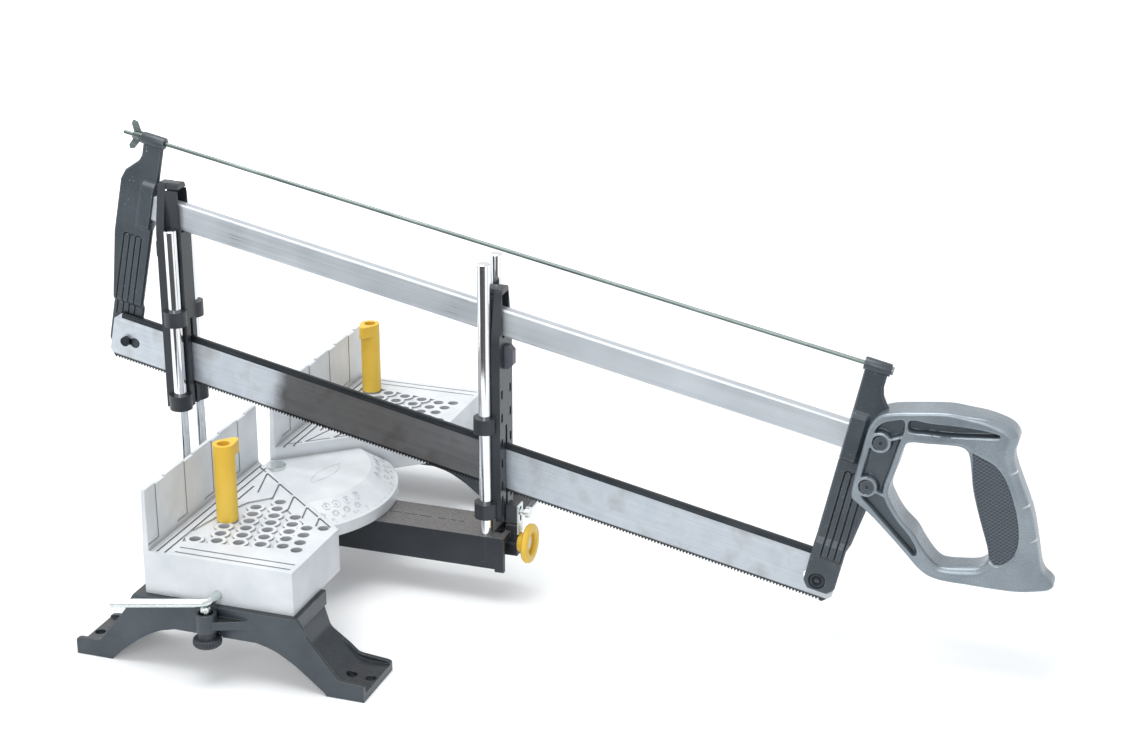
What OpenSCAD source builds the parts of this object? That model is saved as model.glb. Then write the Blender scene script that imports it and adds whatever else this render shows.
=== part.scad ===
// Miter box with a framed hand saw: a cast bed on two leg frames, a swivel arm with four guide posts,
// two guides that slide on the posts, and the saw that slides and tilts in the guides.
// The origin is on the bench at the middle of the feet, X runs along the fence, Y points to the back, Z up.

/* [Bed] */
// Height of the table top above the bench
table_z = 84.5; // [82:0.5:88]
// Length of the bed along the fence
bed_len = 356; // [350:2:366]
// Distance of the fence face behind the middle of the feet
fence_y = 49; // [47:0.5:51]
// Depth of a table from the fence face to its front edge
table_depth = 106; // [104:0.5:108]
// Half width of the mouth between the tables at their front edge
mouth_half = 104.3; // [104:0.5:108]
// Half width of the gap between the two fences
gap_half = 13.7; // [13:0.1:15]
// Height of the skirts below the table top
skirt_h = 31.4; // [31:0.1:32]
// Thickness of the table plates
table_t = 4; // [3.5:0.5:4.5]
// Thickness of the skirts
wall_t = 3.5; // [3:0.5:4]
// Height of the fences above the table top
fence_h = 44.5; // [42:0.5:48]
// Thickness of a fence at the table
fence_t = 4.3; // [4:0.1:4.8]
// Bore of the holes in the tables
table_hole_d = 8; // [7:0.5:8.5]
// Depth of the grooves and sunk fields in the tables
field_depth = 1.2; // [0.6:0.1:1.2]
// Width of the grooves in the tables
groove_w = 1.4; // [1:0.1:1.8]

/* [Quadrant] */
// Distance of the swivel axis in front of the fence face
pivot_setback = 7; // [6.5:0.5:8]
// Outer radius of the quadrant
quad_r = 91; // [89:1:93]
// Drop of the flat middle below the table top
quad_drop = 10; // [9.5:0.5:11]
// Drop of the rim's upper edge below the table top
rim_drop = 22.8; // [22:0.2:23.6]
// Radius where the scale cone begins
cone_r = 71; // [69:1:73]
// Diameter of the swivel bolt
pivot_d = 10; // [9:0.5:11]

/* [Leg frames] */
// Half length of a leg frame from foot end to foot end
leg_half = 108; // [106:1:110]
// How far the outer leg wall stands out past the bed's end
leg_over = 5; // [4:0.5:8]
// Width of a leg frame
leg_w = 48; // [47:0.5:49]
// Thickness of the leg walls
leg_t = 3; // [2.5:0.5:3.5]
// Bore of the bolt holes in the feet
foot_hole_d = 7.5; // [6.5:0.5:8.5]
// Distance of the outer foot holes from the middle, along Y
foot_hole_y = 103; // [101:0.5:103]
// Distance of the foot holes from the outer leg wall
foot_hole_in = 23; // [22:0.5:24]

/* [Swivel arm] */
// Half width of the arm
arm_half = 19.5; // [19:0.5:20]
// Height of the arm
arm_h = 25; // [24:0.5:25]
// Thickness of the arm's top
arm_top_t = 5; // [4:0.5:6]
// Thickness of the arm's side walls
arm_wall_t = 3.5; // [3:0.5:4]
// Front end of the arm from the middle of the feet
arm_front = 146.5; // [146:0.5:148]
// Length of the arm past the rear posts
arm_rear_over = 13; // [11:0.5:15]

/* [Guide posts] */
// Diameter of the guide posts
post_d = 9.4; // [9:0.1:9.6]
// Half distance between the two posts of a pair
post_half = 12.8; // [12.7:0.1:13.2]
// Distance of the front posts in front of the middle of the feet
front_post_y = 131; // [130:0.5:133]
// Distance of the rear posts behind the middle of the feet
rear_post_y = 111.3; // [110:0.5:114]
// Height of the post tops above the bench
post_top = 256.5; // [254:0.5:262]

/* [Guides] */
// Height of the front guide's lower collars above the bench, at rest
guide_z = 66; // [65:0.5:68]
// Height of a collar
collar_h = 11.5; // [11:0.5:13]
// Outer diameter of a collar
collar_d = 16.8; // [16.4:0.1:17]
// Distance between the lower and the upper collars
collar_pitch = 65.5; // [64:0.5:68]
// Half width of a guide's outer plate
plate_half = 13; // [12.5:0.1:13.3]
// Height of the line of the blade studs above the lower collars, at the front guide
stud_h = 33.7; // [33:0.1:35]
// Width of the slot for the blade
slot_w = 3.6; // [3.2:0.1:4]

/* [Saw] */
// Distance between the two blade studs
pin_span = 545; // [540:1:556]
// Slope of the saw at rest, handle end down
saw_tilt = 12; // [10:0.5:12]
// Distance along the blade from the rear stud to the front guide
front_reach = 279.4; // [276:0.2:282]
// Overall length of the blade
blade_len = 570; // [566:1:582]
// Thickness of the blade
blade_t = 1.2; // [1:0.1:1.3]
// Depth of the blade below the line of its studs
blade_low = 16; // [15:0.5:17]
// Height of the blade above the line of its studs
blade_up = 20.4; // [20:0.2:21]
// Height of the frame bar's lower face above the stud line
bar_h = 101.3; // [100:0.1:103]
// Height of the frame bar's section
bar_tall = 19.5; // [19:0.5:20]
// Width of the frame bar's section
bar_w = 8.6; // [8.2:0.1:8.8]
// Height of the tension rod above the stud line, at its rear end
rod_h = 160.3; // [159:0.1:163]
// How much higher the tension rod lies at its front end
rod_rise = 3.6; // [0:0.2:4]
// Diameter of the tension rod
rod_d = 2.8; // [2.4:0.1:3.2]
// Reach of the handle beyond its rear edge
handle_reach = 146; // [142:1:150]
// Width of the handle
handle_w = 24; // [22:0.5:26]

/* [Small parts] */
// Height of the work cams above the table
cam_h = 57; // [52:1:60]
// Diameter of a work cam
cam_d = 15.2; // [14:0.2:15.6]
// Turn of the near work cam's lobe
near_cam_turn = -17; // [-180:1:180]
// Turn of the far work cam's lobe
far_cam_turn = 172; // [0:1:360]
// Diameter of the length stop rod
stop_rod_d = 6; // [5.5:0.1:6.5]
// Diameter of the stop's knurled knob
stop_knob_d = 20; // [19:0.5:21]
// Outer diameter of the hand wheel
wheel_d = 29; // [27:0.5:30]
// Diameter of the hand wheel's shaft
shaft_d = 9.4; // [9:0.1:10]

/* [Clearances] */
// Clearance of turning and sliding fits, on the radius
fit = 0.05; // [0.03:0.01:0.08]
// Free gap between faces that pass each other
gap = 0.3; // [0.25:0.05:0.4]

/* [Hidden] */
$fn = 48;

// Bed
bed_half = bed_len / 2;
bed_z = table_z - skirt_h;
front_y = fence_y - table_depth;
pivot_y = fence_y - pivot_setback;
fence_back = fence_y + fence_t;
fence_top_t = fence_t * 0.6;
slant = [mouth_half - gap_half, front_y - fence_y];
slant_turn = atan2(slant[1], slant[0]);
hub_d = pivot_d * 2.6;
boss_d = table_hole_d * 1.65;
panel_shares = [0.165, 0.39, 0.614, 0.839];
near_panel_shares = [0.087, 0.333, 0.574, 0.818];
foot_mark_share = 0.085;
leg_screw_d = table_hole_d * 0.75;
leg_screw_y = leg_half * 0.3;
leg_x = bed_half + leg_over;
leg_mid_x = leg_x - leg_w / 2;
foot_hole_x = leg_x - foot_hole_in;

// Lattice of table holes: a column step, a row step and the last column of each row
hole_origin = [bed_half - table_depth * 0.284, fence_y - table_depth * 0.334];
hole_step = [-table_depth * 0.1066, table_depth * 0.0288];
row_step = [-table_depth * 0.0208, -table_depth * 0.1453];
last_column_shares = [0, 3, 5, 6, 4];
last_hole_shares = [[0.374, 0.878], [0.266, 0.852], [0.156, 0.824], [0.052, 0.797], [0.019, 0.903],
    [-0.415, 0.932]];
zig_shares = [0.045, 0.155, 0.315, 0.5, 0.66, 0.81, 0.96];

// Leg frames
leg_top_shares = [[0.56, 1], [0.605, 0.86], [0.625, 0.765], [0.787, 0.345], [0.833, 0.245], [1, 0.235],
    [1, 0]];
inner_top_shares = [[0.545, 0.77], [0.585, 0.5], [0.72, 0.3], [0.78, 0.19], [1, 0.15], [1, 0]];
ease_steps = 4;
leg_arch_shares = [[0.76, -0.5], [0.76, 0], [0.7, 0.1], [0.635, 0.21], [0.53, 0.38], [0.4, 0.53],
    [0.28, 0.59]];
foot_pocket_shares = [[1.1, 0.11], [0.83, 0.11], [0.765, 0.17], [0.62, 0.47], [0.575, 0.6], [0.56, 0.94],
    [0.56, 2], [1.1, 2]];
boss_y = fence_y - table_depth * 0.44;
boss_x = leg_x + stop_rod_d * 1.05;
boss_top = bed_z - stop_rod_d * 0.2;
boss_d_out = stop_knob_d * 0.73;
stop_z = table_z - skirt_h * 0.77;
knob_top = boss_top - boss_d_out * 0.9 - gap;
stop_bend_x = -bed_half - stop_rod_d * 2.2;
stop_turn = 19;
stop_out = stop_rod_d * 10.9;
stop_leg_y = boss_y - stop_rod_d * 0.63;

// Swivel arm
arm_z = bed_z - gap;
arm_low = arm_z - arm_h;
arm_back = rear_post_y + arm_rear_over;
post_low = arm_low + arm_h * 0.2;
shaft_z = table_z - skirt_h * 1.32;
shoe_front = pivot_y - quad_r + wall_t + gap * 2;
dash_shares = [[0, 0.17], [0.2, 0.38], [0.4, 0.56], [0.64, 0.75], [0.81, 0.88], [0.93, 0.99]];
bracket_back = arm_front - arm_wall_t;
bracket_front = arm_front + arm_wall_t * 1.5;
strip_t = blade_t * 0.9;
wheel_y = bracket_front;
arm_hub_low = arm_low + arm_h * 0.5;
washer_t = pivot_d * 0.15;
shoe_w = shaft_d * 1.3;
shoe_l = shaft_d * 0.9;
shoe_travel = shaft_d * 0.16;
strip_low_z = shaft_z + wheel_d * 0.27;
strip_top_z = table_z - skirt_h * 0.36;
block_z = table_z - skirt_h * 0.54;
post_screw_d = post_d * 0.85;

// Guides
post_r = post_d / 2;
core_half = post_half - post_r - gap;
guide_in = post_d * 0.62;
guide_out = post_d * 1.2;
plate_in = post_r + gap;
plate_t = guide_out - plate_in;
sill_h = stud_h + bar_h / cos(saw_tilt);
guide_over = (rod_h - bar_h - bar_tall) * 0.36;
guide_h = sill_h + bar_tall + guide_over;
sill_fall = tan(saw_tilt) * 1.35;
shoe_r = bar_w * 0.8;
window_half = core_half - bar_w * 0.14;
shoe_half = window_half - gap;
guide_mid = -post_d * 0.26;
front_axis_y = -front_post_y + guide_mid;
rear_axis_y = rear_post_y - guide_mid;
axis_z = guide_z + sill_h;
rear_rise = (rear_axis_y - front_axis_y) * tan(saw_tilt);
catch_w = plate_half * 0.5;
catch_h = sill_h * 0.125;
catch_low = sill_h * 0.81;
pocket_shares = [0.09, 0.17, 0.3, 0.41, 0.55, 0.68];

// Saw: the frame runs along a line that falls towards the handle, a is measured from the rear stud
pin_y = front_axis_y + front_reach * cos(saw_tilt) + bar_h * sin(saw_tilt);
pin_z = axis_z + front_reach * sin(saw_tilt) - bar_h * cos(saw_tilt);
blade_over = (blade_len - pin_span) / 2;
strip_low = blade_up * 0.83;
strip_top = blade_up + blade_t;
arm_t = bar_w * 0.58;
sock_t = bar_w * 0.22;
lower_x0 = blade_t;
lower_x1 = lower_x0 + arm_t * 0.8;
end_arm_shares = [[-0.058, -0.018], [-0.036, -0.045], [0.06, -0.045], [0.083, -0.02], [0.085, 0.173],
    [0.096, 0.204], [0.13, 0.52], [0.13, 0.78], [0.112, 0.83], [0.05, 0.893], [0.04, 0.92], [0.04, 1.01],
    [-0.058, 1.01]];
inner_u = rod_h * 0.058;
sock_u = rod_h * 0.01;
roll_d = rod_d * 3.2;
keyhole_d = blade_t * 6.7;
stud_d = blade_t * 4.2;
groove_shares = [0.015, 0.046, 0.077];
roll_end = rod_h * 0.05;
nut_y = roll_end + rod_d * 0.35;
rod_fall = atan(rod_rise / pin_span);

// Handle outline as shares of its reach, from its rear edge and the stud line
handle_out_shares = [[0.0, 0.505], [0, 0.86], [0.022, 0.915], [0.06, 0.95], [0.11, 0.967], [0.165, 0.99],
    [0.22, 1.012],
    [0.31, 1.038], [0.4, 1.054], [0.48, 1.064], [0.545, 1.066], [0.595, 1.06], [0.63, 1.045], [0.65, 1.018],
    [0.648, 0.955], [0.66, 0.91], [0.682, 0.868], [0.71, 0.831], [0.774, 0.736], [0.83, 0.645],
    [0.87, 0.56],
    [0.9, 0.49], [0.925, 0.435], [0.952, 0.41], [0.985, 0.392], [1.0, 0.372], [0.988, 0.35], [0.95, 0.328],
    [0.87, 0.295], [0.785, 0.272], [0.64, 0.243], [0.525, 0.224], [0.455, 0.226], [0.4, 0.253],
    [0.32, 0.307],
    [0.21, 0.381], [0.1, 0.455], [0.05, 0.48]];
handle_in_shares = [[0.166, 0.575], [0.177, 0.82], [0.196, 0.842], [0.36, 0.888], [0.42, 0.899],
    [0.463, 0.875],
    [0.487, 0.818], [0.532, 0.7], [0.6, 0.565], [0.665, 0.464], [0.686, 0.398], [0.675, 0.373],
    [0.65, 0.353],
    [0.574, 0.325], [0.496, 0.298], [0.441, 0.318], [0.392, 0.362], [0.334, 0.416], [0.26, 0.463],
    [0.2, 0.523]];
insert_shares = [[0.462, 0.878], [0.51, 0.886], [0.575, 0.872], [0.63, 0.832], [0.68, 0.77], [0.725, 0.695],
    [0.762, 0.63], [0.79, 0.566], [0.797, 0.49], [0.78, 0.43], [0.745, 0.4], [0.705, 0.398], [0.686, 0.398],
    [0.665, 0.464], [0.6, 0.565], [0.532, 0.7], [0.487, 0.818]];
recess_shares = [[0.16, 0.93], [0.165, 0.905], [0.18, 0.896], [0.36, 0.935], [0.56, 0.995], [0.57, 1.005],
    [0.555, 1.012], [0.4, 0.99], [0.23, 0.955]];
rib_pocket_shares = [
    [[0.035, 0.86], [0.045, 0.845], [0.1, 0.862], [0.13, 0.83], [0.15, 0.87], [0.13, 0.905], [0.07, 0.895]],
    [[0.03, 0.745], [0.11, 0.745], [0.128, 0.76], [0.12, 0.625], [0.09, 0.645], [0.03, 0.645]],
    [[0.08, 0.5], [0.115, 0.515], [0.16, 0.49], [0.34, 0.345], [0.36, 0.31], [0.345, 0.308], [0.1, 0.475]]
];
handle_step_shares = [[0.5, 0.13], [0.42, 0.06], [0.3, 0]];
handle_a = pin_span + handle_reach * 0.041;
screw_spot_shares = [[0.066, 0.8], [0.063, 0.57]];
screw_d = handle_w * 0.25;
insert_t = handle_w * 0.12;
arm_slot_a = pin_span + rod_h * 0.13;
near_cam_at = [-hole_at(3, 1)[0], hole_at(3, 1)[1]];
far_cam_at = hole_at(0, 0);

// An outline in Y and Z drawn out along X from x0 to x1
module prism_x(x0, x1) {
    translate([x0, 0, 0]) rotate([90, 0, 90]) linear_extrude(x1 - x0) children();
}

// A cylinder along X from x0 to x1 at (y, z)
module rod_x(x0, x1, y, z, d) {
    translate([x0, y, z]) rotate([0, 90, 0]) cylinder(d = d, h = x1 - x0);
}

// A cylinder along Y from y0 to y1 at (x, z)
module rod_y(y0, y1, x, z, d) {
    translate([x, y0, z]) rotate([-90, 0, 0]) cylinder(d = d, h = y1 - y0);
}

// A cylinder along Z from z0 to z1 at (x, y)
module rod_z(z0, z1, x, y, d) {
    translate([x, y, z0]) cylinder(d = d, h = z1 - z0);
}

// A box between two corners
module block(a, b) {
    translate(a) cube(b - a);
}

// A groove of the table from p to q
module groove(p, q) {
    d = q - p;
    translate([p[0], p[1], table_z - field_depth]) rotate([0, 0, atan2(d[1], d[0])])
        translate([0, -groove_w / 2, 0]) cube([norm(d), groove_w, field_depth * 2]);
}

// Plan outline of the right table
function table_outline() = [[gap_half, fence_back], [gap_half, fence_y], [mouth_half, front_y],
    [bed_half, front_y],
    [bed_half, fence_back]];

function hole_at(i, j) = hole_origin + i * hole_step + (j - 1) * row_step;

function table_holes() = concat(
    [for (j = [0:4]) for (i = [0:last_column_shares[j]]) hole_at(i, j)],
    [for (s = last_hole_shares) [mouth_half + table_depth * s[0], fence_y - table_depth * s[1]]]
);

// A skirt along one edge of the outline, its inside to the left of the way from p to q
module skirt(p, q) {
    d = q - p;
    translate([p[0], p[1], bed_z]) rotate([0, 0, atan2(d[1], d[0])]) cube([norm(d), wall_t, skirt_h]);
}

module right_table() {
    o = table_outline();
    difference() {
        union() {
            translate([0, 0, table_z - table_t]) linear_extrude(table_t) polygon(o);
            intersection() {
                translate([0, 0, bed_z]) linear_extrude(skirt_h) polygon(o);
                union() {
                    skirt(o[1], o[2]);
                    skirt(o[2], o[3]);
                    skirt(o[3], o[4]);
                    skirt(o[4], o[0]);
                    skirt(o[0], o[1]);
                }
            }
            prism_x(gap_half, bed_half) polygon([[fence_y, table_z - table_t], [fence_y, table_z + fence_h],
                [fence_y + fence_top_t, table_z + fence_h], [fence_back, table_z - table_t]]);
            for (s = [-1, 1]) rod_z(bed_z, table_z - table_t / 2, leg_mid_x, s * leg_screw_y,
                leg_screw_d * 2);
        }
        for (h = table_holes()) rod_z(bed_z - skirt_h, table_z * 2, h[0], h[1], table_hole_d);
        for (s = [-1, 1]) rod_z(bed_z - skirt_h, bed_z + skirt_h / 2, leg_mid_x, s * leg_screw_y,
            leg_screw_d);
        table_grooves();
        hole_field();
    }
}

// Grooves along the fence, along the end and along the slanted edge, with branches towards the holes
module table_grooves() {
    near_fence = fence_y - table_depth * 0.05;
    for (s = [0, 0.055]) groove([gap_half + table_depth * (0.02 + s), near_fence - table_depth * s],
        [bed_half - wall_t / 2, near_fence - table_depth * s]);
    third_y = fence_y - table_depth * 0.165;
    groove([mouth_half * 0.54, third_y], [bed_half - table_depth * 0.36, third_y]);
    for (s = [0.05, 0.12]) groove([bed_half - table_depth * s, fence_y - table_depth * 0.16],
        [bed_half - table_depth * s, front_y + table_depth * 0.035]);
    inset = [table_depth * 0.045, 0];
    for (k = [0:len(zig_shares) - 2]) {
        a = [gap_half, fence_y] + slant * zig_shares[k] + inset;
        b = [gap_half, fence_y] + slant * (zig_shares[k + 1] - 0.02) + inset;
        groove(a, b);
        if (k > 0) groove(a, a - hole_step * (3.4 - k * 0.45));
    }
}

// Corners of the sunk field, counted in holes along and rows across
field_shares = [[-0.45, -0.5], [0.6, -0.5], [3.6, 0.55], [5.6, 1.5], [6.55, 2.5], [4.75, 3.6], [3.2, 4.5],
    [-0.35, 4.25]];

// Sunk field round the bosses of the holes
module hole_field() {
    translate([0, 0, table_z - field_depth]) linear_extrude(field_depth * 2) difference() {
        polygon([for (c = field_shares) hole_at(c[0], c[1])]);
        for (h = table_holes()) translate(h) circle(d = boss_d);
        for (j = [1:4]) field_rib(hole_at(0, j), hole_at(last_column_shares[j], j));
    }
}

// A straight rib of the sunk field from p to q
module field_rib(p, q) {
    d = q - p;
    translate(p) rotate(atan2(d[1], d[0])) translate([0, -boss_d * 0.3]) square([norm(d), boss_d * 0.6]);
}

// The revolved quadrant between the tables, with the hub of the swivel bolt
module quadrant() {
    under = table_t;
    cone_drop = rim_drop - quad_drop;
    intersection() {
        translate([0, pivot_y, 0]) rotate_extrude($fn = 96) polygon([
            [0, table_z - quad_drop - under], [0, table_z - quad_drop], [cone_r, table_z - quad_drop],
            [quad_r - wall_t / 2, table_z - rim_drop + wall_t / 5], [quad_r, table_z - rim_drop],
            [quad_r, bed_z],
            [quad_r - wall_t, bed_z], [quad_r - wall_t, table_z - rim_drop - under / 2],
            [cone_r - under / 2, table_z - quad_drop - under]
        ]);
        translate([0, 0, bed_z - skirt_h]) linear_extrude(table_z * 2) polygon([
            [-gap_half - wall_t / 2, fence_back], [-gap_half - wall_t / 2, fence_y],
            [-mouth_half - wall_t / 2, front_y], [-mouth_half, front_y - quad_r],
            [mouth_half, front_y - quad_r],
            [mouth_half + wall_t / 2, front_y], [gap_half + wall_t / 2, fence_y],
            [gap_half + wall_t / 2, fence_back]
        ]);
    }
    translate([0, 0, bed_z]) linear_extrude(skirt_h - quad_drop - under)
        translate([-gap_half - wall_t / 2, fence_y]) square([gap_half * 2 + wall_t, fence_t]);
    rod_z(bed_z, table_z - quad_drop - under / 2, 0, pivot_y, hub_d);
}

// Shallow marks on the fence faces: upright lines with a short foot, and notches in the top edge
module fence_marks(x0, shares) {
    len_f = bed_half - gap_half;
    for (s = shares) {
        x = x0 + len_f * s;
        block([x - groove_w / 2, fence_y - field_depth, table_z + table_t],
            [x + groove_w / 2, fence_y + field_depth / 2, table_z + fence_h * 2]);
        block([x - len_f * foot_mark_share, fence_y - field_depth, table_z + table_t],
            [x, fence_y + field_depth / 2, table_z + table_t + groove_w]);
        block([x, fence_y - fence_t, table_z + fence_h - field_depth],
            [x + len_f * foot_mark_share, fence_y + fence_t * 2, table_z + fence_h * 2]);
    }
}

module bed_casting() {
    color([0.86, 0.88, 0.9]) difference() {
        union() {
            right_table();
            mirror([1, 0, 0]) right_table();
            quadrant();
            rod_x(-bed_half + wall_t / 2, -bed_half + stop_rod_d * 5, stop_leg_y, stop_z, stop_rod_d * 2);
        }
        rod_z(0, table_z * 2, 0, pivot_y, pivot_d);
        rod_x(-bed_len, -bed_half + stop_rod_d * 8, stop_leg_y, stop_z, stop_rod_d + fit * 2);
        fence_marks(gap_half, panel_shares);
        fence_marks(-bed_half, near_panel_shares);
    }
}

// Half outline of a leg, mirrored to the other half
function both_ways(pts) = concat([for (p = pts) p], [for (i = [len(pts) - 1:-1:0]) [-pts[i][0],
    pts[i][1]]]);

function leg_points(shares) = [for (s = shares) [s[0] * leg_half, s[1] * bed_z]];

// A chain of points whose inner corners are eased into short curves
function eased(p, k) = concat([p[0]], [for (i = [1:len(p) - 2])
    let (a = p[i] + (p[i - 1] - p[i]) * k, b = p[i] + (p[i + 1] - p[i]) * k)
    for (t = [0:ease_steps]) let (u = t / ease_steps)
        a * (1 - u) * (1 - u) + p[i] * 2 * u * (1 - u) + b * u * u], [p[len(p) - 1]]);

module leg_frame() {
    difference() {
        union() {
            prism_x(leg_x - leg_t, leg_x) difference() {
                polygon(both_ways(leg_points(eased(leg_top_shares, 0.2))));
                polygon(both_ways(leg_points(eased(leg_arch_shares, 0.42))));
            }
            prism_x(leg_x - leg_w, leg_x - leg_t) difference() {
                polygon(both_ways(leg_points(eased(inner_top_shares, 0.2))));
                polygon(both_ways(leg_points(eased(leg_arch_shares, 0.42))));
            }
            block([leg_x - leg_w, -leg_half * 0.56, bed_z * 0.8], [leg_x, leg_half * 0.56, bed_z]);
        }
        for (s = [-1, 1]) {
            prism_x(leg_x - leg_w + leg_t, leg_x - leg_t)
                polygon([for (p = leg_points(eased(foot_pocket_shares, 0.3))) [s * p[0], p[1]]]);
            for (y = [foot_hole_y, foot_hole_y - foot_hole_d * 1.85])
                rod_z(-table_z, table_z, foot_hole_x, s * y, foot_hole_d);
            rod_z(0, table_z, leg_mid_x, s * leg_screw_y, leg_screw_d + gap);
        }
        prism_x(leg_x - leg_w + leg_t, leg_x - leg_t)
            polygon(both_ways(leg_points([[0.5, -1], [0.5, 0.86]])));
    }
}

module right_leg_frame() {
    color([0.27, 0.3, 0.32]) leg_frame();
}

// The left frame carries the boss of the length stop
module left_leg_frame() {
    color([0.27, 0.3, 0.32]) difference() {
        union() {
            mirror([1, 0, 0]) leg_frame();
            rod_z(boss_top - boss_d_out * 0.9, boss_top, -boss_x, boss_y, boss_d_out);
            translate([0, 0, boss_top - boss_d_out * 0.75]) linear_extrude(boss_d_out * 0.4) polygon([
                [-leg_x + leg_t / 2, boss_y - boss_d_out * 2], [-leg_x, boss_y - boss_d_out * 2],
                [-boss_x - boss_d_out * 0.3, boss_y - boss_d_out * 0.3], [-boss_x, boss_y],
                [-leg_x + leg_t / 2, boss_y]
            ]);
        }
        rod_z(0, table_z, -boss_x, boss_y, stop_knob_d * 0.35 + fit * 2);
        rod_z(boss_top - boss_d_out * 0.3, table_z, -boss_x, boss_y, stop_knob_d * 0.53);
        rod_z(0, knob_top - stop_knob_d * 0.25 + gap, -boss_x, boss_y, stop_knob_d + gap * 2);
        rod_z(0, knob_top + gap, -boss_x, boss_y, stop_knob_d * 0.62 + gap * 2);
    }
}

module leg_screws() {
    color([0.3, 0.3, 0.32]) for (i = [-1, 1], j = [-1, 1])
        translate([i * leg_mid_x, j * leg_screw_y, bed_z * 0.86]) difference() {
            union() {
                translate([0, 0, -leg_screw_d]) cylinder(d = leg_screw_d * 1.6, h = leg_screw_d);
                cylinder(d = leg_screw_d, h = bed_z * 0.14 + skirt_h / 2);
            }
            translate([0, 0, -leg_screw_d * 1.5]) cylinder(d = leg_screw_d * 0.9, h = leg_screw_d, $fn = 6);
        }
}

module pivot_bolt() {
    color([0.8, 0.82, 0.84]) {
        rod_z(arm_low + gap, table_z - quad_drop, 0, pivot_y, pivot_d);
        translate([0, pivot_y, table_z - quad_drop]) cylinder(d = pivot_d * 1.5, h = pivot_d * 0.25);
    }
}

module pivot_washer() {
    color([0.75, 0.77, 0.8]) difference() {
        rod_z(arm_hub_low - gap / 2 - washer_t, arm_hub_low - gap / 2, 0, pivot_y, pivot_d * 2);
        rod_z(0, table_z, 0, pivot_y, pivot_d);
    }
}

module pivot_nut() {
    color([0.75, 0.77, 0.8]) difference() {
        translate([0, pivot_y, arm_hub_low - gap / 2 - washer_t - pivot_d * 0.75])
            cylinder(d = pivot_d * 1.75, h = pivot_d * 0.75, $fn = 6);
        rod_z(0, table_z, 0, pivot_y, pivot_d);
    }
}

// A work cam: a stem in a table hole with a lobe at its top
module work_cam() {
    r = cam_d / 2;
    tip_r = r * 0.42;
    reach = r * 1.35;
    lobe_h = cam_h * 0.16;
    k = acos((r - tip_r) / reach);
    difference() {
        union() {
            translate([0, 0, -table_t * 2]) cylinder(d = table_hole_d - fit * 2, h = table_t * 2);
            translate([0, 0, gap]) cylinder(r = r, h = cam_h - gap);
            cylinder(d = table_hole_d - fit * 2, h = gap * 2);
            translate([0, 0, cam_h - lobe_h]) linear_extrude(lobe_h) union() {
                circle(r = r);
                translate([reach, 0]) circle(r = tip_r);
                polygon([r * [cos(k), sin(k)], r * [cos(k), -sin(k)],
                    [reach + tip_r * cos(k), -tip_r * sin(k)],
                    [reach + tip_r * cos(k), tip_r * sin(k)]]);
            }
        }
        translate([0, 0, cam_h - cam_d * 0.8]) cylinder(d = cam_d * 0.58, h = cam_d);
    }
}

module near_work_cam() {
    color([0.93, 0.76, 0.22]) translate([near_cam_at[0], near_cam_at[1], table_z])
        rotate([0, 0, near_cam_turn])
        work_cam();
}

module far_work_cam() {
    color([0.93, 0.76, 0.22]) translate([far_cam_at[0], far_cam_at[1], table_z])
        rotate([0, 0, far_cam_turn])
        work_cam();
}

// The bent rod of the length stop: one leg in the bed's end wall, the other swung out over the boss
module length_stop_rod() {
    color([0.82, 0.84, 0.84]) {
        rod_x(stop_bend_x, -bed_half + stop_rod_d * 12.5, stop_leg_y, stop_z, stop_rod_d);
        translate([stop_bend_x, stop_leg_y, stop_z]) {
            sphere(d = stop_rod_d * 1.05);
            rotate([0, 0, stop_turn]) rotate([-90, 0, 0]) cylinder(d = stop_rod_d, h = stop_out);
        }
    }
}

module length_stop_knob() {
    color([0.16, 0.17, 0.18]) {
        rod_z(knob_top - stop_knob_d * 0.3, stop_z - stop_rod_d / 2 - gap, -boss_x, boss_y,
            stop_knob_d * 0.35);
        translate([-boss_x, boss_y, knob_top - stop_knob_d * 0.55]) {
            translate([0, 0, stop_knob_d * 0.3]) cylinder(d = stop_knob_d * 0.62, h = stop_knob_d * 0.25);
            cylinder(d = stop_knob_d, h = stop_knob_d * 0.3);
        }
    }
}

// Dashes of the pointer line engraved in the arm's top
module pointer_line() {
    y0 = pivot_y - quad_r - gap;
    run = table_depth * 0.57;
    for (d = dash_shares) block([-groove_w / 2, y0 - run * d[1], arm_z - field_depth / 2],
        [groove_w / 2, y0 - run * d[0], arm_z + field_depth]);
}

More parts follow.
